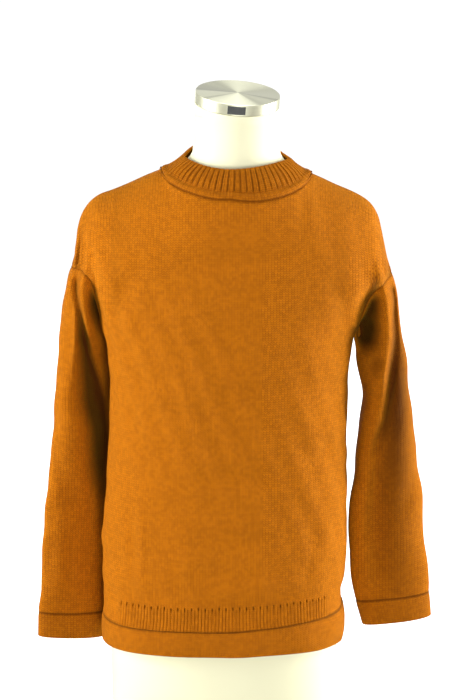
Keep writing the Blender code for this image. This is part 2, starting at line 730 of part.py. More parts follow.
def neck_loop(face_grids, row_of):
    """Closed loop of a panel grid's neck points: front, then back."""
    front, back = face_grids
    first = HALF_COLUMNS - NECK_COLUMNS
    last = HALF_COLUMNS + NECK_COLUMNS
    front_edge = row_of(front)[first:last + 1]
    back_edge = row_of(back)[first:last + 1][::-1]
    return np.concatenate([front_edge, back_edge, front_edge[:1]])


def collar_top(angle):
    """Point of the collar's free edge; the angle runs from the right side over the front."""
    x = NECK_MID_X - COLLAR_TOP_HALF_WIDTH * math.cos(angle)
    forward = math.sin(angle)
    if forward >= 0.0:
        y = -COLLAR_TOP_FRONT * forward
        z = COLLAR_TOP_SIDE_Z - COLLAR_FRONT_DROP * forward**2
    else:
        y = -COLLAR_TOP_BACK * forward
        z = COLLAR_TOP_SIDE_Z + COLLAR_BACK_RISE * forward**2
    return np.array([x, y, z])


def collar_mesh(front, back):
    """Ribbed collar with a rolled base, standing on the neck seam."""
    count = COLLAR_RIBS * POINTS_PER_RIB
    shares = np.arange(count) / count
    base_outer = along(neck_loop((front[0], back[0]), lambda grid: grid[0]), shares)
    base_inner = along(neck_loop((front[1], back[1]), lambda grid: grid[0]), shares)
    plan = [math.atan2(-point[1], -(point[0] - NECK_MID_X)) for point in base_outer]
    top = np.array([collar_top(angle) for angle in plan])
    rise = unit(top - base_outer)
    wall = unit(base_outer - base_inner)
    around = unit(np.roll(base_outer, -1, axis=0) - np.roll(base_outer, 1, axis=0))
    out = unit(np.cross(around, rise))
    if np.sum(out * (base_outer - base_outer.mean(axis=0))) < 0.0:
        out = -out
    ribs = rib_profile(COLLAR_RIBS, COLLAR_RIB_HEIGHT)[:-1, None]
    low_outer = base_outer + SEAM_GAP * rise
    low_inner = base_inner + SEAM_GAP * rise
    height = top - base_outer
    rows = [
        low_outer,
        base_outer + COLLAR_BASE_SHARE * height + COLLAR_BASE_ROLL * out,
        base_outer + COLLAR_RIB_SHARE * height + COLLAR_MIDDLE_SHARE * COLLAR_BULGE * out,
        base_outer + COLLAR_MIDDLE_SHARE * height + (COLLAR_BULGE + ribs) * out,
        top - COLLAR_EDGE_SHARE * height + ribs * out,
        top - RIB_WALL / 2.0 * out,
        top - COLLAR_EDGE_SHARE * height - RIB_WALL * out,
        low_inner,
    ]
    return ring_mesh("collar", np.array(rows))


def sleeve_ring(side, table, share):
    """Ring of a sleeve: its front from the outer to the inner edge, then its back."""
    half = SLEEVE_COLUMNS // 2
    values = {column: float(table.at(column, share)) for column in table.columns}
    middle = (values["x_out"] + values["x_in"]) / 2.0
    reach = (values["x_out"] - values["x_in"]) / 2.0
    power = 2.0 / values["square"]
    ring = np.empty((SLEEVE_COLUMNS, 3))
    for k in range(SLEEVE_COLUMNS):
        angle = math.pi * k / half
        cosine = math.cos(angle)
        sine = math.sin(angle)
        x = middle + reach * math.copysign(abs(cosine) ** power, cosine)
        depth = values["front"] if sine > 0.0 else values["back"]
        y = -math.copysign(abs(sine) ** power, sine) * depth
        z = values["z_in"] + (values["z_out"] - values["z_in"]) * (1.0 + cosine) / 2.0
        if sine > 0.01:
            hollow = fold_depth(ARM_FOLD[side], x, z) + fold_depth(ARMPIT[side], x, z)
            y += hollow * smoothstep(0.0, 0.5, sine)
        y += values["mid"] + values["turn"] * cosine
        ring[k] = (side * x, y, z)
    return ring


def armhole_ring(side):
    """The armhole seam as a sleeve ring, with the way that it faces."""
    half = SLEEVE_COLUMNS // 2
    points = []
    facings = []
    for k in range(SLEEVE_COLUMNS):
        if k <= half:
            face = FRONT
            share = k / half
        else:
            face = BACK
            share = (SLEEVE_COLUMNS - k) / half
        points.append(armhole_point(side, face, share))
        facings.append(armhole_facing(side, face, share))
    return np.array(points), np.array(facings)


def sleeve_grids(side):
    """Outer and inner grids of a sleeve, from the armhole seam to the cuff."""
    seam, facing = armhole_ring(side)
    first = sleeve_ring(side, SLEEVE[side], 0.0)
    around = np.roll(seam, -1, axis=0) - np.roll(seam, 1, axis=0)
    away = unit(np.cross(around, facing))
    if np.sum(away[:, 2]) > 0.0:
        away = -away
    rows = []
    for i in range(SLEEVE_ROWS + 1):
        share = (i / SLEEVE_ROWS) ** SLEEVE_CLOSENESS
        kept = 1.0 - smoothstep(0.0, SEAM_SHAPE_REACH, share)
        rows.append(sleeve_ring(side, SLEEVE[side], share) + kept * (seam - first))
    outer = np.array(rows)
    outer[0] += SEAM_GAP * away
    centre = outer.mean(axis=1, keepdims=True)
    normals = grid_normals(outer, outer - centre, closed=True)
    normals[0] = facing
    normals[-1, :, 2] = 0.0
    normals = unit(normals)
    return outer, outer - KNIT_WALL * normals


def cuff_mesh(name, side):
    """Turned cuff below a sleeve."""
    rows = [sleeve_ring(side, CUFF[side], i / CUFF_ROWS) for i in range(CUFF_ROWS + 1)]
    outer = np.array(rows)
    outer[0, :, 2] -= SEAM_GAP
    centre = outer.mean(axis=1, keepdims=True)
    normals = grid_normals(outer, outer - centre, closed=True)
    normals[..., 2] = 0.0
    normals = unit(normals)
    return wall_mesh(name, outer, outer - RIB_WALL * normals, closed=True)


def form_ring(mid_x, mid_y, left, right, front, back, square, z):
    """Level ring of the torso form."""
    power = 2.0 / square
    ring = []
    for k in range(FORM_COLUMNS):
        angle = 2.0 * math.pi * k / FORM_COLUMNS
        cosine = math.cos(angle)
        sine = math.sin(angle)
        reach = left if cosine > 0.0 else right
        depth = back if sine > 0.0 else front
        x = mid_x + reach * math.copysign(abs(cosine) ** power, cosine)
        y = mid_y + depth * math.copysign(abs(sine) ** power, sine)
        ring.append((x, y, z))
    return ring


def shoulder_reach(side, z):
    """Distance from the middle at which the form's shoulder has a given height."""
    xs = np.linspace(0.02, 0.20, SHOULDER_SAMPLES)
    zs = SHOULDER[side].at("z", xs) - FORM_SHOULDER_DROP
    return float(np.interp(-z, -zs, xs))


def form_shoulder_ring(z):
    """Level ring of the form's shoulders, just inside the cloth that rests on them."""
    ring = []
    for k in range(FORM_COLUMNS):
        angle = 2.0 * math.pi * k / FORM_COLUMNS
        side = LEFT if math.cos(angle) > 0.0 else RIGHT
        face = BACK if math.sin(angle) > 0.0 else FRONT
        reach = min(shoulder_reach(side, z), FORM_SHOULDER_REACH)
        x = reach * math.cos(angle)
        depth = yoke_depth(side, face, x, z + FORM_SHOULDER_DROP) * (1.0 - FORM_SHOULDER_INSET)
        if abs(math.sin(angle)) < 1e-6:
            depth = 0.0
        ring.append((x, face * depth, z))
    return ring


def cap_axis():
    """Direction of the neck at its top, leaning forward and to the left side."""
    forward = -math.sin(CAP_TILT_FORWARD)
    sideways = math.sin(CAP_TILT_SIDE)
    up = math.sqrt(1.0 - forward**2 - sideways**2)
    return np.array([sideways, forward, up])


def form_mesh():
    """Smooth torso form: hips, chest, shoulders and a neck that leans forward."""
    rings = []
    for i in range(FORM_LEVELS):
        z = FORM.rows[-1, 0] * i / (FORM_LEVELS - 1)
        row = {column: float(FORM.at(column, z)) for column in FORM.columns}
        half = row["half"]
        rings.append(
            form_ring(row["mid_x"], row["mid_y"], half, half, row["front"], row["back"], row["square"], z)
        )
    for z in FORM_SHOULDER_LEVELS:
        rings.append(form_shoulder_ring(z))
    for z, mid_y, half, front, back in NECK.rows:
        rings.append(form_ring(NECK_MID_X, mid_y, half, half, front, back, 2.0, z))
    axis = cap_axis()
    top = np.array(CAP_CENTRE) - axis * (CAP_HEIGHT / 2.0 + CAP_SEAT_GAP)
    side_way = unit(np.cross(np.array([0.0, 1.0, 0.0]), axis))
    back_way = np.cross(axis, side_way)
    for level in (NECK_RIM, 0.0):
        ring = []
        for k in range(FORM_COLUMNS):
            angle = 2.0 * math.pi * k / FORM_COLUMNS
            turn = math.cos(angle) * side_way + math.sin(angle) * back_way
            ring.append(tuple(top - axis * level + turn * CAP_RADIUS))
        rings.append(ring)
    return capped_mesh("torso_form", np.array(rings))


def cap_rotation():
    """Euler angles that stand the cap on the leaning neck."""
    axis = cap_axis()
    tilt_x = math.asin(-axis[1])
    tilt_y = math.asin(axis[0] / math.cos(tilt_x))
    return (tilt_x, tilt_y, 0.0)


def add_cap(collection, material):
    """Turned steel cap that closes the neck."""
    bpy.ops.mesh.primitive_cylinder_add(vertices=CAP_VERTICES, radius=CAP_RADIUS, depth=CAP_HEIGHT)
    cap = bpy.context.active_object
    cap.name = "neck_cap"
    cap.data.name = "neck_cap"
    cap.location = CAP_CENTRE
    cap.rotation_euler = cap_rotation()
    cap.data.materials.append(material)
    bevel = cap.modifiers.new("rounded_edges", "BEVEL")
    bevel.width = CAP_BEVEL
    bevel.segments = 1
    bevel.limit_method = "ANGLE"
    cap.data.shade_smooth()
    cap.data.set_sharp_from_angle(angle=CAP_SHARP_EDGE)
    for owner in list(cap.users_collection):
        owner.objects.unlink(cap)
    collection.objects.link(cap)


def add_plate(collection, material):
    """Blank plate bent around the front of the cap."""
    half_angle = PLATE_WIDTH / CAP_RADIUS / 2.0
    near = CAP_RADIUS + CAP_SEAT_GAP
    far = near + PLATE_THICKNESS
    grids = []
    for radius in (far, near):
        grid = np.empty((2, PLATE_COLUMNS + 1, 3))
        for j in range(PLATE_COLUMNS + 1):
            angle = -half_angle + 2.0 * half_angle * j / PLATE_COLUMNS
            for i, z in enumerate((PLATE_HEIGHT / 2.0, -PLATE_HEIGHT / 2.0)):
                grid[i, j] = (radius * math.sin(angle), -radius * math.cos(angle), z)
        grids.append(grid)
    plate = add_object(collection, "cap_plate", wall_mesh("cap_plate", grids[0], grids[1]), material)
    plate.location = CAP_CENTRE
    plate.rotation_euler = cap_rotation()


def main():
    """Build every piece of the sweater and of the form that it hangs on."""
    clear_scene()
    collection = bpy.data.collections.new(COLLECTION)
    bpy.context.scene.collection.children.link(collection)

    def knit(name):
        return make_material(name + "_knit", KNIT_COLOUR, 0.85, 0.0)

    front = panel_grids(FRONT)
    back = panel_grids(BACK)
    for name, grids, face in (("front", front, FRONT), ("back", back, BACK)):
        panel = wall_mesh(name, grids[0], grids[1], keep=grids[2])
        add_object(collection, name, panel, knit(name))
        band_name = "rib_band_" + name
        band = rib_band_mesh(band_name, grids[0], grids[1])
        add_object(collection, band_name, band, knit(band_name))
        welt_name = "hem_welt_" + name
        add_object(collection, welt_name, welt_mesh(welt_name, face), knit(welt_name))
    add_object(collection, "collar", collar_mesh(front, back), knit("collar"))
    for name, side in (("left", LEFT), ("right", RIGHT)):
        outer, inner = sleeve_grids(side)
        sleeve_name = "sleeve_" + name
        sleeve = wall_mesh(sleeve_name, outer, inner, closed=True)
        add_object(collection, sleeve_name, sleeve, knit(sleeve_name))
        cuff_name = "cuff_" + name
        add_object(collection, cuff_name, cuff_mesh(cuff_name, side), knit(cuff_name))
    form_material = make_material("torso_form_cover", FORM_COLOUR, 0.6, 0.0)
    add_object(collection, "torso_form", form_mesh(), form_material)
    add_cap(collection, make_material("neck_cap_steel", STEEL_COLOUR, 0.3, 1.0))
    add_plate(collection, make_material("cap_plate_paint", PLATE_COLOUR, 0.4, 0.0))


main()
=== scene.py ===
"""Finished looks of a knitted crewneck sweater worn by a limbless torso form.

Units are metres, +Z is up and the wearer faces -Y, so the wearer's left is at +X. Each cloth
piece is a fine wall over the same tables as its solid, with its creases, ribs, slots and seams,
and a UV map in metres of flat cloth, so that wales and courses run as they were knitted.
"""

from __future__ import annotations

import logging
import math
from dataclasses import dataclass, field
from enum import Enum

import bmesh
import bpy
import numpy as np
from bpy.types import Material, Mesh, Node, NodeSocket, NodeTree, Object
from mathutils import Matrix, Vector


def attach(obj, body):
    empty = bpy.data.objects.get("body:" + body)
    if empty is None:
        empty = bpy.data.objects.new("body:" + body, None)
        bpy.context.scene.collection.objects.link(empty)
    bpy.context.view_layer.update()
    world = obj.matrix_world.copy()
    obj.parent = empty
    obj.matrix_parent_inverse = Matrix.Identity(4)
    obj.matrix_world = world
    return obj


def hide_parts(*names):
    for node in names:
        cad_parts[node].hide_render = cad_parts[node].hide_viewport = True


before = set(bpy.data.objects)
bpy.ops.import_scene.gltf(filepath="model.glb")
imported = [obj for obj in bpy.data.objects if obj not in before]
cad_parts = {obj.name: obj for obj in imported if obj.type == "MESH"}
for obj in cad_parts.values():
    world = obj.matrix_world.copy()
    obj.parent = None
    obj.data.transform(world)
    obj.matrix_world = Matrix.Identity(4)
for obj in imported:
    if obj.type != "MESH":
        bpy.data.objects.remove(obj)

LOG = logging.getLogger("sweater")
BODY_NAME = "root"

# Cloth
KNIT_WALL = 0.0022
SEAM_HALF_GAP = 0.0001
HALF_FLAT_WIDTH = 0.2650
HEM_ALLOWANCE = 0.0010

# Columns and rows of the fine grids
NECK_SHARE = 0.34
RIB_BAND_SHARE = 0.64
NECK_COLUMNS = 30
BAND_COLUMNS = 26
SIDE_COLUMNS = 34
YOKE_ROWS = 84
BODY_ROWS = 84
STRIP_ROWS = 8
SHOULDER_CLOSENESS = 1.9
MM_IN_A_METRE = 1000.0
UNDERARM_MM = 552.0
UNDERARM_Z = UNDERARM_MM / MM_IN_A_METRE
ARMHOLE_REACH = 0.70
FOLD_LEAST_DEPTH = 0.030
SHARP_EDGE = math.radians(50.0)
PLAN_SAMPLES = 121

# Neckline in plan
NECK_MID_X = 0.0065
NECK_HALF_WIDTH = 0.108
NECK_FRONT = 0.103
NECK_BACK = 0.062
NECK_PLAN_Z = 0.770
NECK_FRONT_RISE = 0.0085
NECK_SQUARENESS = 0.84

Grid = np.ndarray
Colour = tuple[float, float, float, float]


class Way(Enum):
    """A sign along an axis, with the name of its column in the body table."""

    @property
    def sign(self) -> float:
        """Sign along the axis."""
        return self.value[0]

    @property
    def word(self) -> str:
        """Name in lower case."""
        return self.value[1]


class Side(Way):
    """A side of the wearer, along x."""

    LEFT = (1.0, "left")
    RIGHT = (-1.0, "right")


class Face(Way):
    """Front or back of the garment, along y."""

    FRONT = (-1.0, "front")
    BACK = (1.0, "back")


def smooth_through(keys: Grid, values: Grid, places: Grid) -> Grid:
    """Smooth line through numbers or points, with no overshoot between them.

    Args:
        keys: Places of the numbers or points, rising.
        values: A number or an array of points for each place.
        places: Places to read.

    Returns:
        The line's values at the places.
    """
    places = np.clip(np.asarray(places, float), keys[0], keys[-1])
    rest = (1,) * (values.ndim - 1)
    step = np.diff(keys).reshape((-1,) + rest)
    slope = np.diff(values, axis=0) / step
    tangent = np.empty_like(values)
    tangent[0], tangent[-1] = slope[0], slope[-1]
    near = 2.0 * step[1:] + step[:-1]
    far = step[1:] + 2.0 * step[:-1]
    same_way = slope[:-1] * slope[1:] > 0.0
    before = np.where(same_way, slope[:-1], 1.0)
    after = np.where(same_way, slope[1:], 1.0)
    tangent[1:-1] = np.where(same_way, (near + far) / (near / before + far / after), 0.0)
    i = np.clip(np.searchsorted(keys, places, side="right") - 1, 0, len(keys) - 2)
    t = (places - keys[i]) / np.diff(keys)[i]
    t = np.reshape(t, np.shape(t) + rest)
    value = (2.0 * t**3 - 3.0 * t**2 + 1.0) * values[i] + (3.0 * t**2 - 2.0 * t**3) * values[i + 1]
    lean = (t**3 - 2.0 * t**2 + t) * tangent[i] + (t**3 - t**2) * tangent[i + 1]
    return value + step[i] * lean


class Table:
    """A short table of sections: named columns, one row for each section, lengths in mm."""

    UNITLESS = ("share", "nx", "ny", "nz", "square")

    def __init__(self, columns: str, *rows: tuple[float, ...]) -> None:
        """Keep the rows in order of their first column.

        Args:
            columns: Names of the columns, with spaces between them.
            rows: One row of numbers for each section.
        """
        self.columns = columns.split()
        scale = [1.0 if column in self.UNITLESS else MM_IN_A_METRE for column in self.columns]
        self.rows = np.array(sorted(rows), float) / scale

    def at(self, column: str, key: Grid | float) -> Grid:
        """Values of a column where the first column has the given keys."""
        return smooth_through(self.rows[:, 0], self.rows[:, self.columns.index(column)], key)


# Shoulder line from the neck over the shoulder to the top of the armhole seam
SHOULDER = {
    Side.LEFT: Table(
        "x z",
        (0, 822), (50, 813), (85, 801), (114.5, 789), (125, 785), (148, 774.5), (170, 766),
        (191.5, 755), (202, 746), (211, 731), (218.5, 702.5), (226, 671), (234.5, 647.5),
    ),
    Side.RIGHT: Table(
        "x z",
        (0, 822), (45, 813), (80, 800), (101.5, 790.5), (116.5, 784.5), (147, 770), (171.5, 759.5),
        (186.5, 754), (196.5, 747.5), (205, 739), (213, 725.5), (217.5, 711), (222.5, 669),
        (228.5, 648),
    ),
}

# Plan of the body at each height: half widths, depths and squareness
BODY = Table(
    "z left right front back square",
    (85, 173, 175.5, 122.5, 113, 3), (98, 175.5, 177.5, 125, 116, 3),
    (123, 180.8, 178.5, 126.5, 117.5, 3), (145, 179.5, 176.5, 125.5, 117, 3),
    (162, 174.5, 175, 123.5, 115.5, 3), (180, 173.5, 175.5, 123, 115, 3),
    (200, 177.5, 178, 124, 115, 2.9), (250, 179.8, 178.8, 123.5, 113, 2.8),
    (330, 177.8, 174.2, 121.5, 108, 2.7), (410, 175.2, 171.2, 120, 105, 2.6),
    (480, 174.8, 170, 120, 105, 2.6), (552, 180.5, 179, 121.5, 107, 2.6),
    (600, 199, 196, 121.5, 108, 2.5), (650, 232, 227, 119.5, 108, 2.4),
    (700, 238, 234, 116.5, 105, 2.3), (740, 239, 235, 114.5, 99, 2.2),
    (820, 239, 235, 113, 93, 2.2),
)

# How far below the shoulder line the cloth has rounded over to its full depth
SHOULDER_ROUND = {
    Face.FRONT: Table(
        "x drop",
        (0, 120), (120, 112), (200, 85), (240, 70),
    ),
    Face.BACK: Table(
        "x drop",
        (0, 130), (120, 118), (200, 85), (240, 70),
    ),
}

# Armhole seam from the shoulder's end to the underarm, with the way it faces
ARMHOLE = {
    Side.LEFT: Table(
        "share x y z nx ny nz",
        (0, 234.5, 0, 647.5, 1, 0, 0.15), (0.14, 231.5, 29, 649, 0.85, 0.5, 0.1),
        (0.27, 225, 40, 645, 0.5, 0.85, 0.05), (0.4, 216.5, 54, 637, 0.1, 1, 0),
        (0.52, 208, 52.5, 630, -0.3, 0.9, -0.1), (0.64, 201, 41, 618, -0.25, 0.8, -0.5),
        (0.78, 193.5, 27, 597, 0, 0.7, -0.7), (0.9, 186, 12, 571.5, 0, 0.45, -0.9),
        (1, 180.5, 0, UNDERARM_MM, 0, 0, -1),
    ),
    Side.RIGHT: Table(
        "share x y z nx ny nz",
        (0, 228.5, 0, 648, 1, 0, 0.15), (0.14, 224, 26, 650, 0.85, 0.5, 0.1),
        (0.27, 212.5, 37, 649, 0.5, 0.85, 0.05), (0.4, 204, 52, 644, 0.1, 1, 0),
        (0.52, 196.5, 51, 636, -0.3, 0.9, -0.1), (0.64, 192.5, 40, 621, -0.25, 0.8, -0.5),
        (0.78, 187.5, 26, 597.5, 0, 0.7, -0.7), (0.9, 183, 11.5, 572, 0, 0.45, -0.9),
        (1, 179, 0, UNDERARM_MM, 0, 0, -1),
    ),
}

# Valley beside the fold that hangs in front of each arm: place, depth, half its width
ARM_FOLD = {
    Side.LEFT: Table(
        "z x depth width",
        (370, 212, 0, 8), (400, 220.5, 5, 8), (433.4, 227.5, 10, 8), (491, 235.5, 13, 7.2),
        (524, 238.5, 14.5, 6.8), (554.5, 239.5, 15, 6.5), (603.3, 237.8, 15, 5), (630, 233, 13, 5),
        (656.4, 227, 8, 4.5), (680.6, 217.6, 4.5, 4.5), (709.6, 214.4, 3, 4.5), (740, 209, 0, 4.5),
    ),
    Side.RIGHT: Table(
        "z x depth width",
        (520, 199, 0, 6), (545, 207, 7, 5.5), (570, 210.5, 10, 4.8), (596, 214, 11, 4.6),
        (620, 217.2, 10.5, 5.2), (648.5, 216.5, 8.5, 5.4), (675, 214.5, 6.5, 5.5),
        (704, 210, 3.5, 6), (735, 204, 0, 6.5),
    ),
}

# Recess of each armpit, between the body and the fold that hangs in front of the arm
ARMPIT = {
    Side.LEFT: Table(
        "z x depth width",
        (528, 199, 0, 12), (542, 195.5, 15, 15), (556, 194.5, 33, 16.5), (574, 195, 35, 16),
        (588, 200, 23, 12.2), (600, 203, 25, 10.5), (614, 202.2, 28, 10), (628, 204.5, 18, 8),
        (644, 205.5, 13, 4.5), (660, 206.5, 0, 4),
    ),
    Side.RIGHT: Table(
        "z x depth width",
        (545, 185, 0, 4), (562, 186, 8, 4.5), (580, 189, 20, 5), (600, 192.5, 23, 5.5),
        (625, 193.5, 11, 4.5), (645, 196, 0, 4),
    ),
}

# Wide shaded pockets of each sleeve, which also get painted shade: the outer flank of the left one and,
# low beside the body, the recess that opens on the right one
POCKETS = {
    Side.LEFT: (
        Table(
            "z x depth width",
            (180, 233, 0, 16), (230, 230, 2.6, 17), (320, 226, 4, 17), (390, 229, 4.8, 16),
            (450, 240, 6, 15), (500, 246, 6, 12), (554.5, 248, 4, 8), (605, 244, 0, 6),
        ),
        Table(
            "z x depth width",
            (498, 208, 0, 7), (512, 209.5, 7, 9), (522, 211, 9, 9), (538, 214, 0, 8),
        ),
    ),
    Side.RIGHT: (
        Table(
            "z x depth width",
            (230, 178, 0, 7), (270, 178.5, 5, 8), (310, 181, 17, 11.5), (350, 183, 24, 14),
            (390, 185, 28, 15), (432, 189, 29, 17), (472, 195, 29, 15), (512, 202.5, 25, 11),
            (539, 207, 18, 7.8), (575, 212, 6, 5.5), (600, 215, 0, 4.5),
        ),
    ),
}
# Depth of a valley at which its painted shade is full
POCKET_FULL_DEPTH = 0.024

# Shade of the left sleeve's outer flank, which faces away from the light, in thousandths of full tone
FLANK_SHADE = Table(
    "z x depth width",
    (150, 256, 200, 34), (230, 253, 280, 32), (320, 251, 400, 29), (390, 250, 620, 22),
    (450, 250.5, 660, 17), (500, 251, 520, 13), (554.5, 248, 240, 8), (620, 244, 0, 6),
)

# Sections of each sleeve down its length, as heights and reaches of its outer and inner edge,
# depths before and behind its middle, where that middle lies, its turn and squareness
SLEEVE_COLUMNS = "share z_out z_in x_out x_in front back mid turn square"
SLEEVE = {
    Side.LEFT: Table(
        SLEEVE_COLUMNS,
        (0, 647.5, 552, 234.5, 180.5, 60, 64, 0, 0, 2),
        (0.04, 628, 543, 240, 182.5, 62, 65, 0, 0, 2),
        (0.1, 600, 525, 245.5, 185.5, 62, 65, 1, 0, 2),
        (0.2, 550, 496, 253.5, 192, 60, 64, 3, 0, 2.1),
        (0.3, 500, 460, 262, 196, 56, 60, 5, 0, 2.1),
        (0.42, 440, 415, 271.8, 192, 50, 54, 7, 0, 2.2),
        (0.54, 380, 365, 279.7, 189.5, 43, 48, 9, 1, 2.2),
        (0.66, 320, 312, 288.5, 186.2, 36, 42, 11, 2, 2.2),
        (0.78, 260, 256, 296.2, 182.2, 30, 36, 12, 2, 2.2),
        (0.9, 205, 200, 302.5, 188.5, 24, 29, 12, 2, 2.2),
        (1, 168.5, 153, 306.5, 197, 20, 24, 11, 1, 2.2),
    ),
    Side.RIGHT: Table(
        SLEEVE_COLUMNS,
        (0, 648, 552, 228.5, 179, 56, 62, 0, 0, 2), (0.04, 629, 543, 233.8, 180, 59, 64, 3, -4, 2),
        (0.1, 600, 525, 237.7, 177.5, 59, 65, 8, -10, 2),
        (0.19, 550, 496, 243.2, 172, 56, 64, 14, -16, 2),
        (0.28, 500, 460, 247.8, 170.5, 51, 60, 18, -20, 2.1),
        (0.39, 440, 415, 251.5, 170.5, 45, 55, 18, -20, 2.1),
        (0.5, 380, 365, 255.3, 171.5, 39, 49, 20, -22, 2.1),
        (0.61, 320, 312, 260.8, 173.5, 33, 44, 21, -23, 2.2),
        (0.72, 260, 256, 265.5, 176.5, 28, 38, 22, -23, 2.2),
        (0.84, 205, 200, 270, 177, 23, 32, 22, -22, 2.2),
        (1, 128.5, 118.5, 274.2, 178.5, 18, 24, 21, -21, 2.2),
    ),
}

# Upper and lower edge of each cuff, in the same columns
CUFF = {
    Side.LEFT: Table(
        SLEEVE_COLUMNS,
        (0, 168.5, 153, 306.5, 197, 20, 24, 11, 1, 2.2),
        (1, 132, 116.5, 310.4, 208.5, 19, 22, 10, 1, 2.2),
    ),
    Side.RIGHT: Table(
        SLEEVE_COLUMNS,
        (0, 128.5, 118.5, 274.2, 178.5, 18, 24, 21, -21, 2.2),
        (1, 91.4, 79.5, 274.6, 178.5, 17, 22, 20, -20, 2.2),
    ),
}

# Height of the ribbed band's top, of the welt's top and of the hem, across the garment.
# share runs from the right side seam at -1 over the middle at 0 to the left one at 1.
HEM_LINES = Table(
    "share rib_top welt_top hem",
    (-1, 178.5, 139.5, 101), (-0.6, 179, 140.5, 103.5), (-0.3, 179.5, 142, 104.5),
    (0, 181, 143, 105), (0.25, 185, 149, 108.5), (0.6, 192, 158, 112), (1, 196, 160, 105.5),
)

# Torso form: heights, middles, half widths, depths before and behind, squareness
FORM = Table(
    "z mid_x half mid_y front back square",
    (0, 3.5, 166, 0, 101, 100, 2.4), (30, 3.5, 168, 0, 103, 104, 2.4),
    (120, 2, 166, 0, 106, 106, 2.4), (220, 1.5, 161, 0, 104, 102, 2.4),
    (330, 1, 152, 0, 102, 92, 2.3), (420, 1, 152, 0, 103, 90, 2.3), (520, 1, 160, 0, 108, 94, 2.3),
    (600, 2, 169, 0, 110, 96, 2.3), (660, 3, 179, 0, 106, 94, 2.2), (710, 3, 185, 0, 100, 88, 2.1),
    (740, 2, 183, 0, 94, 82, 2),
)
FORM_SHOULDER_DROP = 0.0034
FORM_SHOULDER_INSET = 0.12
FORM_SHOULDER_REACH = 0.185
FORM_SHOULDER_LEVELS = (0.75, 0.757, 0.763, 0.769, 0.775, 0.78)
NECK = Table(
    "z mid_y half front back",
    (788, -2, 94, 70, 50), (798, -4, 83, 67, 51), (807, -7, 70, 64, 54), (818, -10, 62.5, 62, 60),
    (840, -14, 61, 61, 61), (870, -21, 60, 60, 60),
)
CAP_RADIUS = 0.0595
CAP_HEIGHT = 0.016
CAP_CENTRE = (0.0063, -0.0282, 0.8957)
CAP_TILT_FORWARD = math.radians(13.0)
CAP_TILT_SIDE = math.radians(3.3)
CAP_SEAT_GAP = 0.0003


def smoothstep(low: float, high: float, x: Grid) -> Grid:
    """Soft step from 0 at low to 1 at high."""
    t = np.clip((np.asarray(x, float) - low) / (high - low), 0.0, 1.0)
    return t * t * (3.0 - 2.0 * t)


def bell(distance: Grid, width: float) -> Grid:
    """Soft bump of height one at distance 0."""
    return np.exp(-((distance / width) ** 2))


def unit(vectors: Grid) -> Grid:
    """Vectors scaled to length one."""
    return vectors / np.maximum(np.linalg.norm(vectors, axis=-1, keepdims=True), 1e-12)


def grid_normals(grid: Grid, outwards: Grid, closed: bool = False) -> Grid:
    """Unit normals of a grid of points.

    Args:
        grid: Points in rows and columns.
        outwards: Vectors that point to the side wanted.
        closed: Whether the last column joins the first.

    Returns:
        A unit normal at each point.
    """
    down = np.gradient(grid, axis=0)
    if closed:
        across = np.roll(grid, -1, axis=1) - np.roll(grid, 1, axis=1)
    else:
        across = np.gradient(grid, axis=1)
    normals = unit(np.cross(down, across))
    return -normals if np.sum(normals * outwards) < 0.0 else normals


def face_normals(grid: Grid, face: Face) -> Grid:
    """Unit normals of a grid of points of the front or the back."""
    return grid_normals(grid, np.array([0.0, face.sign, 0.0]))


def run_along(points: Grid, axis: int) -> Grid:
    """Distance run along an axis of a grid of points, from its start."""
    steps = np.linalg.norm(np.diff(points, axis=axis), axis=2)
    start = np.zeros_like(np.take(steps, [0], axis=axis))
    return np.concatenate([start, np.cumsum(steps, axis=axis)], axis=axis)


def along(points: Grid, shares: Grid) -> Grid:
    """Points at shares of a polyline's length."""
    points = np.asarray(points, float)
    lengths = np.concatenate([[0.0], np.cumsum(np.linalg.norm(np.diff(points, axis=0), axis=1))])
    places = np.asarray(shares, float) * lengths[-1]
    return np.stack([np.interp(places, lengths, points[:, axis]) for axis in range(3)], axis=-1)


def plan_point(side: Side, face: Face, z: Grid, share: Grid) -> Grid:
    """Points of the body's plan.

    Args:
        side: Side of the wearer.
        face: Front or back.
        z: Heights.
        share: Shares of the way from the middle to the side seam.

    Returns:
        A point for each height and share.
    """
    z, share = np.broadcast_arrays(np.asarray(z, float), np.asarray(share, float))
    power = 2.0 / BODY.at("square", z)[..., None]
    angle = np.linspace(0.0, math.pi / 2.0, PLAN_SAMPLES)
    xs = BODY.at(side.word, z)[..., None] * np.sin(angle) ** power
    ys = BODY.at(face.word, z)[..., None] * np.cos(angle) ** power
    steps = np.hypot(np.diff(xs), np.diff(ys))
    lengths = np.concatenate([np.zeros(z.shape + (1,)), np.cumsum(steps, axis=-1)], axis=-1)
    place = share * lengths[..., -1]
    high = np.clip(np.sum(lengths < place[..., None], axis=-1), 1, PLAN_SAMPLES - 1)[..., None]

    def taken(values: Grid, index: Grid) -> Grid:
        """Values at one index of the last axis."""
        return np.take_along_axis(values, index, -1)[..., 0]

    start = taken(lengths, high - 1)
    t = (place - start) / (taken(lengths, high) - start)
    x = (1.0 - t) * taken(xs, high - 1) + t * taken(xs, high)
    y = (1.0 - t) * taken(ys, high - 1) + t * taken(ys, high)
    return np.stack([side.sign * x, face.sign * np.maximum(y, SEAM_HALF_GAP), z], axis=-1)


def fold_depth(fold: Table, x: Grid, z: Grid) -> Grid:
    """Depth of a valley of the cloth at points given by x and z."""
    gap = (np.abs(x) - fold.at("x", z)) / fold.at("width", z)
    return fold.at("depth", z) * np.exp(-gap * gap)


def sleeve_hollow(side: Side, x: Grid, z: Grid) -> Grid:
    """Depth of all a sleeve's valleys and pockets at points given by x and z."""
    valleys = (ARM_FOLD[side], ARMPIT[side], *POCKETS[side])
    return sum(fold_depth(valley, x, z) for valley in valleys)


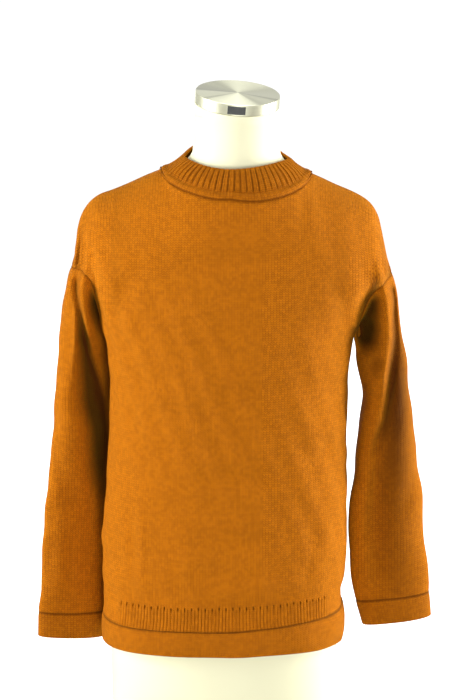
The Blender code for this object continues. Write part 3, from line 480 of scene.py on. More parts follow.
def full_depth(side: Side, face: Face, distance: Grid, z: Grid) -> Grid:
    """Depth of the body's plan at a distance from the middle, before the shoulder rounds it."""
    square = BODY.at("square", z)
    inside = np.maximum(1.0 - np.minimum(distance / BODY.at(side.word, z), 1.0) ** square, 0.0)
    return BODY.at(face.word, z) * inside ** (1.0 / square)


def yoke_depth(side: Side, face: Face, x: Grid, z: Grid) -> Grid:
    """Depth of the cloth before or behind the middle plane, above the underarm."""
    distance = np.abs(x)
    drop = np.maximum(SHOULDER[side].at("z", distance) - z, 0.0)
    share = np.minimum(drop / SHOULDER_ROUND[face].at("drop", distance), 1.0)
    rounded = full_depth(side, face, distance, z) * np.sqrt(1.0 - (1.0 - share) ** 2)
    if face is Face.FRONT:
        valley = fold_depth(ARM_FOLD[side], x, z)
        rounded = rounded - valley * smoothstep(0.0, FOLD_LEAST_DEPTH, rounded)
    return rounded


def neckline(side: Side, face: Face, share: Grid) -> Grid:
    """Points of the neck seam, from the centre line at 0 to the shoulder seam at 1."""
    angle = math.pi / 2.0 * (1.0 - np.asarray(share, float))
    power = NECK_SQUARENESS if face is Face.FRONT else 1.0
    x = NECK_MID_X + side.sign * NECK_HALF_WIDTH * np.abs(np.cos(angle)) ** power
    y = (NECK_FRONT if face is Face.FRONT else NECK_BACK) * np.abs(np.sin(angle)) ** power
    distance = np.abs(x)
    full = full_depth(side, face, distance, np.full_like(distance, NECK_PLAN_Z))
    rounding = 1.0 - np.sqrt(1.0 - np.minimum(y / full, 1.0) ** 2)
    z = SHOULDER[side].at("z", distance) - SHOULDER_ROUND[face].at("drop", distance) * rounding
    if face is Face.FRONT:
        z = z + NECK_FRONT_RISE * np.sin(angle) ** 2
    return np.stack([x, face.sign * y, z], axis=-1)


def shoulder_seam(side: Side, share: Grid) -> Grid:
    """Points of the shoulder seam, from the neck at 0 to the armhole at 1."""
    xs = np.linspace(NECK_HALF_WIDTH + side.sign * NECK_MID_X, SHOULDER[side].rows[-1, 0], 240)
    line = np.stack([side.sign * xs, np.zeros_like(xs), SHOULDER[side].at("z", xs)], axis=-1)
    return along(line, share)


def armhole_point(side: Side, face: Face, share: Grid) -> Grid:
    """Points of the armhole seam, from the shoulder at 0 to the underarm at 1."""
    table = ARMHOLE[side]
    x = side.sign * table.at("x", share)
    return np.stack([x, face.sign * table.at("y", share), table.at("z", share)], axis=-1)


def armhole_facing(side: Side, face: Face, share: Grid) -> Grid:
    """Way that the cloth faces at the armhole seam."""
    table = ARMHOLE[side]
    x = side.sign * table.at("nx", share)
    return unit(np.stack([x, face.sign * table.at("ny", share), table.at("nz", share)], axis=-1))


def yoke_half(side: Side, face: Face, rows: Grid, shares: Grid) -> Grid:
    """Points of half a panel from the neck and shoulder down to the underarm.

    Args:
        side: Side of the wearer.
        face: Front or back.
        rows: Places down the panel, 0 at the shoulder and 1 at the underarm.
        shares: Places across it, 0 at the middle and 1 at the armhole.

    Returns:
        The points, in rows and columns.
    """
    fall = rows[:, None] ** SHOULDER_CLOSENESS
    neck = neckline(side, face, np.minimum(shares / NECK_SHARE, 1.0))
    shoulder = shoulder_seam(side, np.clip((shares - NECK_SHARE) / (1.0 - NECK_SHARE), 0.0, 1.0))
    tops = np.where((shares <= NECK_SHARE)[:, None], neck, shoulder)
    bottoms = plan_point(side, face, UNDERARM_Z, shares)
    edges = armhole_point(side, face, rows)
    place = []
    for axis in (0, 2):
        straight = (1.0 - fall) * tops[None, :, axis] + fall * bottoms[None, :, axis]
        corner = (1.0 - fall) * tops[-1, axis] + fall * bottoms[-1, axis]
        place.append(straight + shares[None, :] * (edges[:, None, axis] - corner))
    x, z = place
    edge_error = np.abs(edges[:, 1]) - yoke_depth(side, face, edges[:, 0], edges[:, 2])
    top_error = np.abs(tops[:, 1]) - yoke_depth(side, face, tops[:, 0], tops[:, 2])
    depth = yoke_depth(side, face, x, z)
    depth = depth + edge_error[:, None] * smoothstep(ARMHOLE_REACH, 1.0, shares)[None, :]
    depth = depth + top_error[None, :] * (1.0 - rows[:, None]) ** 2
    return np.stack([x, face.sign * np.maximum(depth, SEAM_HALF_GAP), z], axis=-1)


def body_half(side: Side, face: Face, shares: Grid, high: Grid, low: Grid, rows: int) -> Grid:
    """Points of half the body between two lines, given as heights at the shares."""
    down = np.linspace(0.0, 1.0, rows)[:, None]
    z = high[None, :] + (low - high)[None, :] * down
    return plan_point(side, face, z, np.broadcast_to(shares[None, :], z.shape))


def both_halves(right: Grid, left: Grid) -> Grid:
    """Join a right and a left half grid along the centre line."""
    middle = (right[:, :1] + left[:, :1]) / 2.0
    return np.concatenate([right[:, :0:-1], middle, left[:, 1:]], axis=1)


def column_shares() -> Grid:
    """Share of the half width at which each column of a panel lies."""
    neck = np.linspace(0.0, NECK_SHARE, NECK_COLUMNS + 1)
    band = np.linspace(NECK_SHARE, RIB_BAND_SHARE, BAND_COLUMNS + 1)
    side = np.linspace(RIB_BAND_SHARE, 1.0, SIDE_COLUMNS + 1)
    return np.concatenate([neck, band[1:], side[1:]])


def sleeve_ring(side: Side, table: Table, share: Grid, angle: Grid) -> Grid:
    """Rings of a sleeve.

    Args:
        side: Side of the wearer.
        table: The sleeve's or the cuff's sections.
        share: Places down its length.
        angle: Places around it, 0 at its outer edge, rising over the front.

    Returns:
        The points, one row for each share.
    """
    value = {column: table.at(column, share)[:, None] for column in table.columns}
    cosine = np.cos(angle)[None, :]
    sine = np.sin(angle)[None, :]
    middle = (value["x_out"] + value["x_in"]) / 2.0
    reach = (value["x_out"] - value["x_in"]) / 2.0
    power = 2.0 / value["square"]
    x = middle + reach * np.sign(cosine) * np.abs(cosine) ** power
    depth = np.where(sine > 0.0, value["front"], value["back"])
    y = -np.sign(sine) * np.abs(sine) ** power * depth
    z = value["z_in"] + (value["z_out"] - value["z_in"]) * (1.0 + cosine) / 2.0
    y = y + value["mid"] + value["turn"] * cosine
    return np.stack([side.sign * x, y, z], axis=-1)


@dataclass(frozen=True)
class Crease:
    """A soft trough or ridge of the cloth, placed along a line.

    Attributes:
        path: Points of its line, in the two coordinates of the piece that it is on.
        width: Half its width.
        rise: Height of a ridge, or less than zero for a trough.
    """

    path: tuple[tuple[float, float], ...]
    width: float
    rise: float

    def height(self, a: Grid, b: Grid) -> Grid:
        """Height of the crease at points given in the piece's two coordinates."""
        points = np.array(self.path, float)
        lengths = np.linalg.norm(np.diff(points, axis=0), axis=1)
        total = lengths.sum()
        best = np.full(a.shape, 1e9)
        place = np.zeros(a.shape)
        start = 0.0
        for first, last, length in zip(points, points[1:], lengths):
            way = (last - first) / length
            t = np.clip((a - first[0]) * way[0] + (b - first[1]) * way[1], 0.0, length)
            gap = np.hypot(a - first[0] - t * way[0], b - first[1] - t * way[1])
            nearer = gap < best
            best = np.where(nearer, gap, best)
            place = np.where(nearer, (start + t) / total, place)
            start += length
        taper = np.sin(math.pi * np.clip(0.04 + 0.92 * place, 0.0, 1.0)) ** 0.7
        return self.rise * taper * bell(best, self.width)


@dataclass(frozen=True)
class Slack:
    """Long low unevenness of knitted cloth, as a few waves of different lengths.

    Attributes:
        height: Height of the waves.
        seed: Seed of their lengths, ways and phases.
        lengths: Shortest and longest wave.
    """

    height: float
    seed: int
    lengths: tuple[float, float] = (0.035, 0.110)

    def at(self, a: Grid, b: Grid) -> Grid:
        """Height of the unevenness at points given in metres of cloth."""
        draw = np.random.default_rng(self.seed)
        total = np.zeros(np.broadcast(a, b).shape)
        for _ in range(9):
            length = draw.uniform(*self.lengths)
            turn = draw.uniform(0.0, math.pi)
            phase = draw.uniform(0.0, 2.0 * math.pi)
            run = a * math.cos(turn) + b * math.sin(turn)
            total = total + np.sin(2.0 * math.pi * run / length + phase)
        return self.height * total / 3.0


# Creases of the panels, in x and z, and of the sleeves, in turns around and share down
CREASES = {
    Face.FRONT: (
        Crease(((-0.119, 0.335), (-0.118, 0.27), (-0.115, 0.205)), 0.006, 0.0019),
        Crease(((-0.134, 0.32), (-0.132, 0.26), (-0.129, 0.2)), 0.0065, -0.0016),
        Crease(((-0.122, 0.49), (-0.131, 0.455), (-0.14, 0.425)), 0.0065, -0.0018),
        Crease(((-0.168, 0.575), (-0.15, 0.625), (-0.124, 0.668)), 0.011, -0.003),
        Crease(((-0.16, 0.545), (-0.138, 0.59), (-0.11, 0.625)), 0.009, 0.0018),
        Crease(((0.172, 0.56), (0.16, 0.612), (0.138, 0.662)), 0.012, -0.0028),
        Crease(((0.166, 0.5), (0.15, 0.545), (0.128, 0.585)), 0.01, -0.0018),
        Crease(((0.158, 0.44), (0.14, 0.4), (0.118, 0.372)), 0.009, -0.0014),
        Crease(((0.145, 0.33), (0.147, 0.27), (0.142, 0.215)), 0.009, 0.0018),
        Crease(((0.126, 0.3), (0.124, 0.25), (0.121, 0.205)), 0.008, -0.0013),
        Crease(((-0.06, 0.29), (-0.052, 0.24), (-0.05, 0.19)), 0.012, 0.0012),
        Crease(((0.05, 0.26), (0.056, 0.2), (0.058, 0.13)), 0.013, 0.0016),
    ),
    Face.BACK: (
        Crease(((-0.168, 0.575), (-0.14, 0.62), (-0.1, 0.655)), 0.012, -0.0034),
        Crease(((0.17, 0.565), (0.142, 0.615), (0.104, 0.648)), 0.013, -0.0036),
        Crease(((-0.11, 0.43), (-0.04, 0.405), (0.05, 0.412)), 0.012, -0.003),
        Crease(((0.12, 0.462), (0.06, 0.436), (-0.02, 0.441)), 0.011, 0.0026),
        Crease(((-0.132, 0.35), (-0.08, 0.328), (-0.01, 0.33)), 0.012, -0.002),
        Crease(((0.09, 0.33), (0.096, 0.27), (0.093, 0.2)), 0.01, 0.002),
        Crease(((-0.104, 0.31), (-0.098, 0.25), (-0.1, 0.195)), 0.01, 0.0018),
        Crease(((-0.15, 0.5), (-0.12, 0.478), (-0.084, 0.47)), 0.01, -0.0022),
        Crease(((0.152, 0.52), (0.126, 0.5), (0.09, 0.492)), 0.01, -0.0022),
        Crease(((-0.02, 0.7), (0.0, 0.66), (0.006, 0.61)), 0.02, 0.0016),
    ),
    Side.LEFT: (
        Crease(((0.3, 0.46), (0.305, 0.62), (0.3, 0.8), (0.295, 0.97)), 0.045, -0.0085),
        Crease(((0.12, 0.18), (0.24, 0.27), (0.36, 0.33)), 0.05, -0.0028),
        Crease(((0.11, 0.3), (0.2, 0.36), (0.3, 0.39)), 0.04, 0.0024),
        Crease(((0.08, 0.61), (0.18, 0.68), (0.27, 0.69)), 0.035, -0.0024),
        Crease(((0.62, 0.2), (0.72, 0.3), (0.86, 0.36)), 0.05, -0.0036),
        Crease(((0.64, 0.36), (0.76, 0.42), (0.9, 0.43)), 0.04, -0.003),
        Crease(((0.64, 0.52), (0.74, 0.56), (0.86, 0.55)), 0.04, -0.0024),
        Crease(((0.7, 0.6), (0.71, 0.78), (0.705, 0.96)), 0.05, -0.004),
    ),
    Side.RIGHT: (
        Crease(((0.12, 0.2), (0.21, 0.3), (0.33, 0.36)), 0.05, -0.003),
        Crease(((0.1, 0.34), (0.19, 0.41), (0.29, 0.43)), 0.04, 0.0024),
        Crease(((0.11, 0.52), (0.2, 0.6), (0.3, 0.62)), 0.04, -0.0026),
        Crease(((0.18, 0.68), (0.19, 0.82), (0.18, 0.97)), 0.045, 0.0024),
        Crease(((0.6, 0.22), (0.72, 0.3), (0.87, 0.34)), 0.05, -0.0036),
        Crease(((0.65, 0.4), (0.76, 0.45), (0.89, 0.44)), 0.04, -0.003),
        Crease(((0.7, 0.56), (0.705, 0.76), (0.7, 0.95)), 0.05, -0.0036),
    ),
}


def merged(mesh: Mesh) -> Mesh:
    """Weld a closed mesh's doubles and turn every face outwards."""
    shape = bmesh.new()
    shape.from_mesh(mesh)
    bmesh.ops.remove_doubles(shape, verts=shape.verts[:], dist=1e-6)
    bmesh.ops.recalc_face_normals(shape, faces=shape.faces[:])
    shape.to_mesh(mesh)
    shape.free()
    return mesh


def mesh_of(
    name: str, points: Grid, faces: list[tuple[int, ...]], uvs: Grid, fields: dict[str, Grid] | None = None
) -> Mesh:
    """Smooth mesh with a UV map.

    Args:
        name: Name of the mesh.
        points: Its vertices.
        faces: Its faces, as indices of the vertices.
        uvs: UV coordinates of the faces' corners, in order.
        fields: Numbers or vectors that the vertices carry, by name.

    Returns:
        The mesh, closed, with its faces outwards.
    """
    mesh = bpy.data.meshes.new(name)
    mesh.from_pydata(points.tolist(), [], faces)
    layer = mesh.uv_layers.new(name="UVMap")
    layer.uv.foreach_set("vector", np.asarray(uvs, np.float32).ravel())
    for name_of_field, values in (fields or {}).items():
        kind, part = ("FLOAT", "value") if values.ndim == 1 else ("FLOAT_VECTOR", "vector")
        stored = mesh.attributes.new(name_of_field, kind, "POINT")
        stored.data.foreach_set(part, np.asarray(values, np.float32).ravel())
    mesh = merged(mesh)
    mesh.shade_smooth()
    mesh.set_sharp_from_angle(angle=SHARP_EDGE)
    return mesh


def quads_of(rows: int, columns: int, closed: bool) -> tuple[Grid, Grid, Grid]:
    """Corners of a grid's cells, with the row and the column of each cell."""
    last = columns if closed else columns - 1
    i, j = np.meshgrid(np.arange(rows - 1), np.arange(last), indexing="ij")
    i = i.ravel()
    j = j.ravel()
    k = (j + 1) % columns
    corners = [i * columns + j, i * columns + k, (i + 1) * columns + k, (i + 1) * columns + j]
    return np.stack(corners, axis=-1), i, j


def cell_uvs(uv: Grid, i: Grid, j: Grid) -> Grid:
    """UV coordinates of the corners of a grid's cells."""
    return np.stack([uv[i, j], uv[i, j + 1], uv[i + 1, j + 1], uv[i + 1, j]], axis=1)


def shell_mesh(
    name: str,
    outer: Grid,
    inner: Grid,
    uv: Grid,
    keep: Grid | None = None,
    closed: bool = False,
    fields: dict[str, tuple[Grid, Grid]] | None = None,
) -> Mesh:
    """Cloth wall between two grids of points, rimmed wherever its cells end.

    Args:
        name: Name of the mesh.
        outer: Points of the outer face, in rows and columns.
        inner: Points of the inner face.
        uv: Flat-cloth coordinates, with one more column than the grids where they are closed.
        keep: Which cells there are, or all of them.
        closed: Whether the last column joins the first.
        fields: Values that the outer and the inner points carry, by name.

    Returns:
        The mesh.
    """
    rows, columns = outer.shape[:2]
    count = rows * columns
    quads, i, j = quads_of(rows, columns, closed)
    if keep is not None:
        kept = keep.ravel()
        quads, i, j = quads[kept], i[kept], j[kept]
    uvs = cell_uvs(uv, i, j)
    starts = quads.ravel()
    ends = np.roll(quads, -1, axis=1).ravel()
    flat = uvs.reshape(-1, 2)
    flat_ends = np.roll(uvs, -1, axis=1).reshape(-1, 2)
    open_edge = ~np.isin(starts * count + ends, ends * count + starts)
    a, b = starts[open_edge], ends[open_edge]
    rims = np.stack([b, a, a + count, b + count], axis=-1)
    edge_start, edge_end = flat[open_edge], flat_ends[open_edge]
    rim_uvs = np.stack([edge_end, edge_start, edge_start, edge_end], axis=1)
    faces = np.concatenate([quads, quads[:, ::-1] + count, rims])
    corners = np.concatenate([uvs, uvs[:, ::-1], rim_uvs])
    points = np.concatenate([outer.reshape(-1, 3), inner.reshape(-1, 3)])
    used, place = np.unique(faces, return_inverse=True)
    place = place.reshape(faces.shape)
    carried = {}
    for key, pair in (fields or {}).items():
        flat_pair = [np.asarray(part, float).reshape((count,) + part.shape[2:]) for part in pair]
        carried[key] = np.concatenate(flat_pair)[used]
    return mesh_of(name, points[used], place.tolist(), corners.reshape(-1, 2), carried)


def section_mesh(
    name: str, rows: Grid, uv: Grid, closed: bool, fields: dict[str, Grid] | None = None
) -> Mesh:
    """Band whose section is a closed loop of rows, open-ended bands being capped.

    Args:
        name: Name of the mesh.
        rows: Points, one row for each point of the section and one column along the band.
        uv: Flat-cloth coordinates, with one more row, and one more column where closed.
        closed: Whether the band joins itself end to end.
        fields: Values that the points carry, by name.

    Returns:
        The mesh.
    """
    count, columns = rows.shape[:2]
    last = columns if closed else columns - 1
    i, j = np.meshgrid(np.arange(count), np.arange(last), indexing="ij")
    i, j = i.ravel(), j.ravel()
    n, k = (i + 1) % count, (j + 1) % columns
    quads = np.stack([i * columns + j, i * columns + k, n * columns + k, n * columns + j], axis=-1)
    uvs = cell_uvs(uv, i, j).reshape(-1, 2)
    faces = [tuple(quad) for quad in quads.tolist()]
    if not closed:
        faces.append(tuple(r * columns for r in range(count)))
        faces.append(tuple(r * columns + columns - 1 for r in range(count)))
        uvs = np.concatenate([uvs, uv[:count, 0], uv[:count, -1]])
    size = (count * columns,)
    carried = {key: values.reshape(size + values.shape[2:]) for key, values in (fields or {}).items()}
    return mesh_of(name, rows.reshape(-1, 3), faces, uvs, carried)


def add_piece(name: str, mesh: Mesh, material: Material) -> Object:
    """Link a finished mesh as an object at the origin, with its material."""
    mesh.materials.clear()
    mesh.materials.append(material)
    piece = bpy.data.objects.new(name, mesh)
    bpy.context.scene.collection.objects.link(piece)
    return piece


def settle(piece: Object, slot: str, *nodes: str) -> Object:
    """Say what a piece rides on and which solids it stands for."""
    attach(piece, BODY_NAME)
    if nodes:
        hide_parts(*nodes)
    LOG.info("%s: %d faces, for %s", piece.name, len(piece.data.polygons), ", ".join(nodes) or "a seam")
    return piece


def keep_modified(piece: Object) -> Mesh:
    """Give a piece the mesh that its modifiers make, and remove them."""
    bpy.context.view_layer.update()
    evaluated = piece.evaluated_get(bpy.context.evaluated_depsgraph_get())
    mesh = bpy.data.meshes.new_from_object(evaluated)
    piece.modifiers.clear()
    piece.data = mesh
    return mesh


@dataclass(frozen=True)
class Value:
    """Output of a node, with arithmetic that adds the nodes for it."""

    nodes: Nodes
    socket: NodeSocket

    def __add__(self, other: object) -> Value:
        """Sum of two values."""
        return self.nodes.maths("ADD", self, other)

    def __sub__(self, other: object) -> Value:
        """Difference of two values."""
        return self.nodes.maths("SUBTRACT", self, other)

    def __rsub__(self, other: object) -> Value:
        """Difference of a plain number and this value."""
        return self.nodes.maths("SUBTRACT", other, self)

    def __mul__(self, other: object) -> Value:
        """Product of two values."""
        return self.nodes.maths("MULTIPLY", self, other)

    def __truediv__(self, other: object) -> Value:
        """Quotient of two values."""
        return self.nodes.maths("DIVIDE", self, other)

    def from_middle(self) -> Value:
        """Distance of the fractional part from one half."""
        return self.nodes.maths("ABSOLUTE", self.nodes.maths("FRACT", self) - 0.5)


class Nodes:
    """Short calls that add and join nodes of one tree."""

    def __init__(self, tree: NodeTree) -> None:
        """Keep the tree of a material, world or Geometry Nodes group."""
        self.tree = tree

    def feed(self, node: Node, inputs: dict[int | str, object]) -> None:
        """Link inputs of a node to outputs, or set them to plain values.

        Args:
            node: The node.
            inputs: An output or a plain value for each input, by name or number.
        """
        for key, source in inputs.items():
            if isinstance(source, Value):
                self.tree.links.new(source.socket, node.inputs[key])
            else:
                node.inputs[key].default_value = source

    def add(self, kind: str, inputs: dict[int | str, object] | None = None, **settings: object) -> Node:
        """Add a node, set its properties and feed its inputs."""
        node = self.tree.nodes.new(kind)
        for key, value in settings.items():
            setattr(node, key, value)
        self.feed(node, inputs or {})
        return node

    def value(
        self, kind: str, output: int | str, inputs: dict[int | str, object] | None = None, **settings: object
    ) -> Value:
        """Add a node and take one of its outputs."""
        return Value(self, self.add(kind, inputs, **settings).outputs[output])

    def maths(self, operation: str, a: object, b: object = 0.0, clamp: bool = False) -> Value:
        """One step of arithmetic on two values."""
        return self.value("ShaderNodeMath", 0, {0: a, 1: b}, operation=operation, use_clamp=clamp)

    def step(self, low: object, high: object, x: object) -> Value:
        """Soft step of x from 0 at low to 1 at high."""
        inputs = {"Value": x, "From Min": low, "From Max": high}
        return self.value("ShaderNodeMapRange", "Result", inputs, interpolation_type="SMOOTHSTEP", clamp=True)

    def blend(self, share: object, a: object, b: object, mode: str = "MIX") -> Value:
        """Mix of two colours."""
        inputs = {"Factor": share, "A": a, "B": b}
        return self.value("ShaderNodeMix", "Result", inputs, data_type="RGBA", blend_type=mode)

    def noise(self, vector: Value, scale: float, detail: float, rough: float = 0.5) -> Value:
        """Noise of a given scale, detail and roughness."""
        inputs = {"Vector": vector, "Scale": scale, "Detail": detail, "Roughness": rough}
        return self.value("ShaderNodeTexNoise", "Fac", inputs)

    def stretched(self, vector: Value, scale: tuple[float, float, float]) -> Value:
        """Coordinates scaled along their axes."""
        return self.value("ShaderNodeMapping", 0, {"Vector": vector, "Scale": scale})

    def flat_place(self) -> tuple[Value, Value, Value]:
        """Place in the UV map, with its two parts."""
        place = self.value("ShaderNodeUVMap", 0, uv_map="UVMap")
        parts = self.add("ShaderNodeSeparateXYZ", {0: place}).outputs
        return place, Value(self, parts[0]), Value(self, parts[1])

    def bump(self, shader: Node, height: Value, strength: float, distance: float) -> None:
        """Raise a shader's surface by a height, where 1 stands for a distance."""
        inputs = {"Strength": strength, "Distance": distance, "Height": height}
        self.feed(shader, {"Normal": self.value("ShaderNodeBump", 0, inputs)})


def new_material(name: str) -> tuple[Material, Nodes, Node]:
    """Empty material with a Principled shader, and short calls for its nodes."""
    material = bpy.data.materials.new(name)
    material.use_nodes = True
    return material, Nodes(material.node_tree), material.node_tree.nodes["Principled BSDF"]


def toned(colour: Colour, tone: float) -> Colour:
    """Colour times a tone."""
    return tuple(tone * value for value in colour[:3]) + (1.0,)


@dataclass(frozen=True)
class KnitFinish:
    """Stockinette of soft wool, drawn in flat-cloth coordinates.

    Attributes:
        name: Name of the material.
        bright: Colour of the yarn's crowns.
        deep: Colour between the stitches, painted shade of their valleys.
        shade_colour: Colour of the painted shade at the bottom of slots, grooves and folds, and along seams.
        tint: Colour of the sheen.
        wale: Width of a wale.
        course: Height of a course.
        relief: Height of a stitch over its valley.
        slope: How steeply a stitch's legs rise.
        uneven: How much the tone differs from stitch to stitch.
        wander: How far a wale strays, as a share of its width.
        cloud: How much the tone differs from patch to patch.
        grain: How much the tone differs within a stitch.
        hairs: How much fine strands add to the height.
    """

    name: str
    bright: Colour = (0.575, 0.168, 0.0022, 1.0)
    deep: Colour = (0.170, 0.040, 0.0008, 1.0)
    shade_colour: Colour = (0.040, 0.0075, 0.0003, 1.0)
    tint: Colour = (1.0, 0.64, 0.03, 1.0)
    wale: float = 0.0044
    course: float = 0.0033
    relief: float = 0.0007
    slope: float = 0.75
    uneven: float = 0.28
    wander: float = 0.16
    cloud: float = 0.10
    grain: float = 0.26
    hairs: float = 0.22

    def make(self) -> Material:
        """Build the material, which reads the piece's UV map in metres."""
        material, nodes, shader = new_material(self.name)
        place, x, y = nodes.flat_place()
        across = x / self.wale + (nodes.noise(place, 30.0, 2.0) - 0.5) * self.wander
        side = across.from_middle() * 2.0
        leg_place = y / self.course - side * self.slope
        leg = nodes.maths("SINE", nodes.maths("FRACT", leg_place) * math.pi)
        off_leg = (side - 0.44) / 0.60
        crown = nodes.maths("SUBTRACT", 1.0, off_leg * off_leg, clamp=True)
        stitch = nodes.maths("POWER", leg, 0.55) * nodes.maths("POWER", crown, 0.8)
        strands = nodes.noise(nodes.stretched(place, (2600.0, 900.0, 1.0)), 1.0, 3.0)
        patch = nodes.noise(place, 9.0, 3.0, 0.6)
        fleck = nodes.noise(place, 420.0, 2.0, 0.6)
        floors = {0: nodes.maths("FLOOR", across), 1: nodes.maths("FLOOR", leg_place)}
        cell = nodes.value("ShaderNodeCombineXYZ", 0, floors)
        chance = nodes.value("ShaderNodeTexWhiteNoise", "Value", {"Vector": cell}, noise_dimensions="2D")
        fine = (patch - 0.5) * self.cloud + (fleck - 0.5) * self.grain
        lift = (chance - 0.5) * self.uneven + fine
        # Tone of the yarn: darker where a stitch is low, as painted shade of the valleys between stitches,
        # with random tone from stitch to stitch and patch to patch.
        tone = nodes.maths("ADD", stitch * 0.80, lift + 0.12, clamp=True)
        # Painted shade: a value that each piece carries darkens the yarn towards the shade colour in its
        # slots, grooves, folds and seams.
        painted_shade = nodes.value("ShaderNodeAttribute", "Fac", attribute_name="painted_shade")
        yarn = nodes.blend(tone, self.deep, self.bright)
        nodes.feed(shader, {
            "Base Color": nodes.blend(painted_shade, yarn, self.shade_colour), "Roughness": fleck * 0.14 + 0.80,
            "Sheen Weight": 0.14, "Sheen Roughness": 0.45, "Sheen Tint": self.tint,
            "Specular IOR Level": 0.08,
        })
        nodes.bump(shader, stitch + strands * self.hairs, 1.0, self.relief)
        return material


@dataclass(frozen=True)
class YarnFinish:
    """Sewing yarn of the same wool, with its twist."""

    name: str
    bright: Colour = (0.300, 0.080, 0.0012, 1.0)
    deep: Colour = (0.110, 0.024, 0.0005, 1.0)

    def make(self) -> Material:
        """Build the material."""
        material, nodes, shader = new_material(self.name)
        twist = nodes.noise(nodes.value("ShaderNodeTexCoord", "Object"), 2400.0, 2.0)
        colour = nodes.blend(twist, self.deep, self.bright)
        nodes.feed(shader, {"Base Color": colour, "Roughness": 0.90, "Specular IOR Level": 0.05})
        nodes.bump(shader, twist, 0.6, 0.0002)
        return material


@dataclass(frozen=True)
class FormCoverFinish:
    """Smooth off-white jersey pulled tight over the form."""

    name: str
    light: Colour = (0.82, 0.80, 0.545, 1.0)
    dark: Colour = (0.78, 0.76, 0.510, 1.0)
    pitch: float = 0.0009

    def make(self) -> Material:
        """Build the material."""
        material, nodes, shader = new_material(self.name)
        place, x, y = nodes.flat_place()
        turn = 2.0 * math.pi / self.pitch
        weave = (nodes.maths("SINE", y * turn) + nodes.maths("SINE", x * turn)) * 0.25
        cloud = nodes.noise(place, 6.0, 3.0)
        colour = nodes.blend(cloud, self.dark, self.light)
        rough = cloud * 0.15 + 0.62
        nodes.feed(shader, {"Base Color": colour, "Roughness": rough, "Sheen Weight": 0.1})
        nodes.bump(shader, weave, 0.25, 0.00015)
        return material


@dataclass(frozen=True)
class TurnedSteelFinish:
    """Bright steel with the fine rings that a lathe leaves and painted reflections in wedges around its face,
    drawn in polar coordinates.
    """

    name: str
    colour: Colour = (0.95, 0.95, 0.72, 1.0)
    ring: float = 0.0005
    rim_tone: float = 0.90

    # Painted reflections of the brushed face: its tone by share of a turn, from the front over the left side
    PAINTED_REFLECTIONS = (
        (0.000, 1.00), (0.070, 0.98), (0.095, 0.68), (0.175, 0.72), (0.195, 0.50), (0.210, 0.74),
        (0.330, 0.74), (0.380, 0.84), (0.560, 0.82), (0.610, 0.62), (0.720, 0.58), (0.745, 0.50),
        (0.765, 0.90), (0.840, 0.92), (0.862, 0.66), (0.880, 1.00),
    )

    def make(self) -> Material:
        """Build the material, which reads radius and angle from the UV map."""
        material, nodes, shader = new_material(self.name)
        place, radius, turn = nodes.flat_place()
        rings = nodes.noise(nodes.stretched(place, (1.0 / self.ring, 3.0, 1.0)), 1.0, 4.0, 0.6)
        # Painted reflections: the face is lighter and darker in wedges by angle, as a turned face reflects
        # the room around it.
        painted_reflections = nodes.add("ShaderNodeValToRGB", {0: turn})
        ramp = painted_reflections.color_ramp
        while len(ramp.elements) < len(self.PAINTED_REFLECTIONS):
            ramp.elements.new(0.5)
        for stop, (share, tone) in zip(ramp.elements, self.PAINTED_REFLECTIONS):
            stop.position = share
            stop.color = toned(self.colour, tone)
        on_rim = nodes.maths("GREATER_THAN", radius, CAP_RADIUS)
        face = nodes.blend(on_rim, Value(nodes, painted_reflections.outputs[0]), toned(self.colour, self.rim_tone))
        fine = nodes.blend(rings, (0.80, 0.80, 0.80, 1.0), (1.0, 1.0, 1.0, 1.0))
        tangent = nodes.value("ShaderNodeTangent", 0, direction_type="UV_MAP", uv_map="UVMap")
        nodes.feed(shader, {
            "Base Color": nodes.blend(1.0, face, fine, "MULTIPLY"), "Metallic": 1.0,
            "Roughness": rings * 0.12 + 0.30 + on_rim * 0.25, "Anisotropic": 0.85, "Tangent": tangent,
        })
        nodes.bump(shader, rings, 0.12, 0.00005)
        return material


@dataclass(frozen=True)
class PlateFinish:
    """Dark satin paint of the blank plate on the cap, a little worn."""

    name: str
    light: Colour = (0.060, 0.064, 0.058, 1.0)
    dark: Colour = (0.022, 0.024, 0.022, 1.0)

    def make(self) -> Material:
        """Build the material."""
        material, nodes, shader = new_material(self.name)
        wear = nodes.noise(nodes.value("ShaderNodeTexCoord", "Object"), 260.0, 4.0, 0.6)
        colour = nodes.blend(wear, self.dark, self.light)
        nodes.feed(shader, {"Base Color": colour, "Roughness": wear * 0.25 + 0.30})
        return material


@dataclass(frozen=True)
class FloorFinish:
    """Plain pale floor."""

    name: str
    colour: Colour = (0.90, 0.90, 0.89, 1.0)
    bounce: Colour = (0.30, 0.30, 0.30, 1.0)
    glow: float = 0.85

    def make(self) -> Material:
        """Build the material."""
        material, nodes, shader = new_material(self.name)
        cloud = nodes.noise(nodes.value("ShaderNodeTexCoord", "Object"), 3.0, 3.0)
        seen = nodes.value("ShaderNodeLightPath", "Is Camera Ray")
        pale = nodes.blend(cloud, toned(self.colour, 0.97), self.colour)
        nodes.feed(shader, {
            "Base Color": nodes.blend(seen, self.bounce, pale), "Roughness": 0.75,
            "Emission Color": (1.0, 1.0, 1.0, 1.0), "Emission Strength": seen * self.glow,
        })
        return material


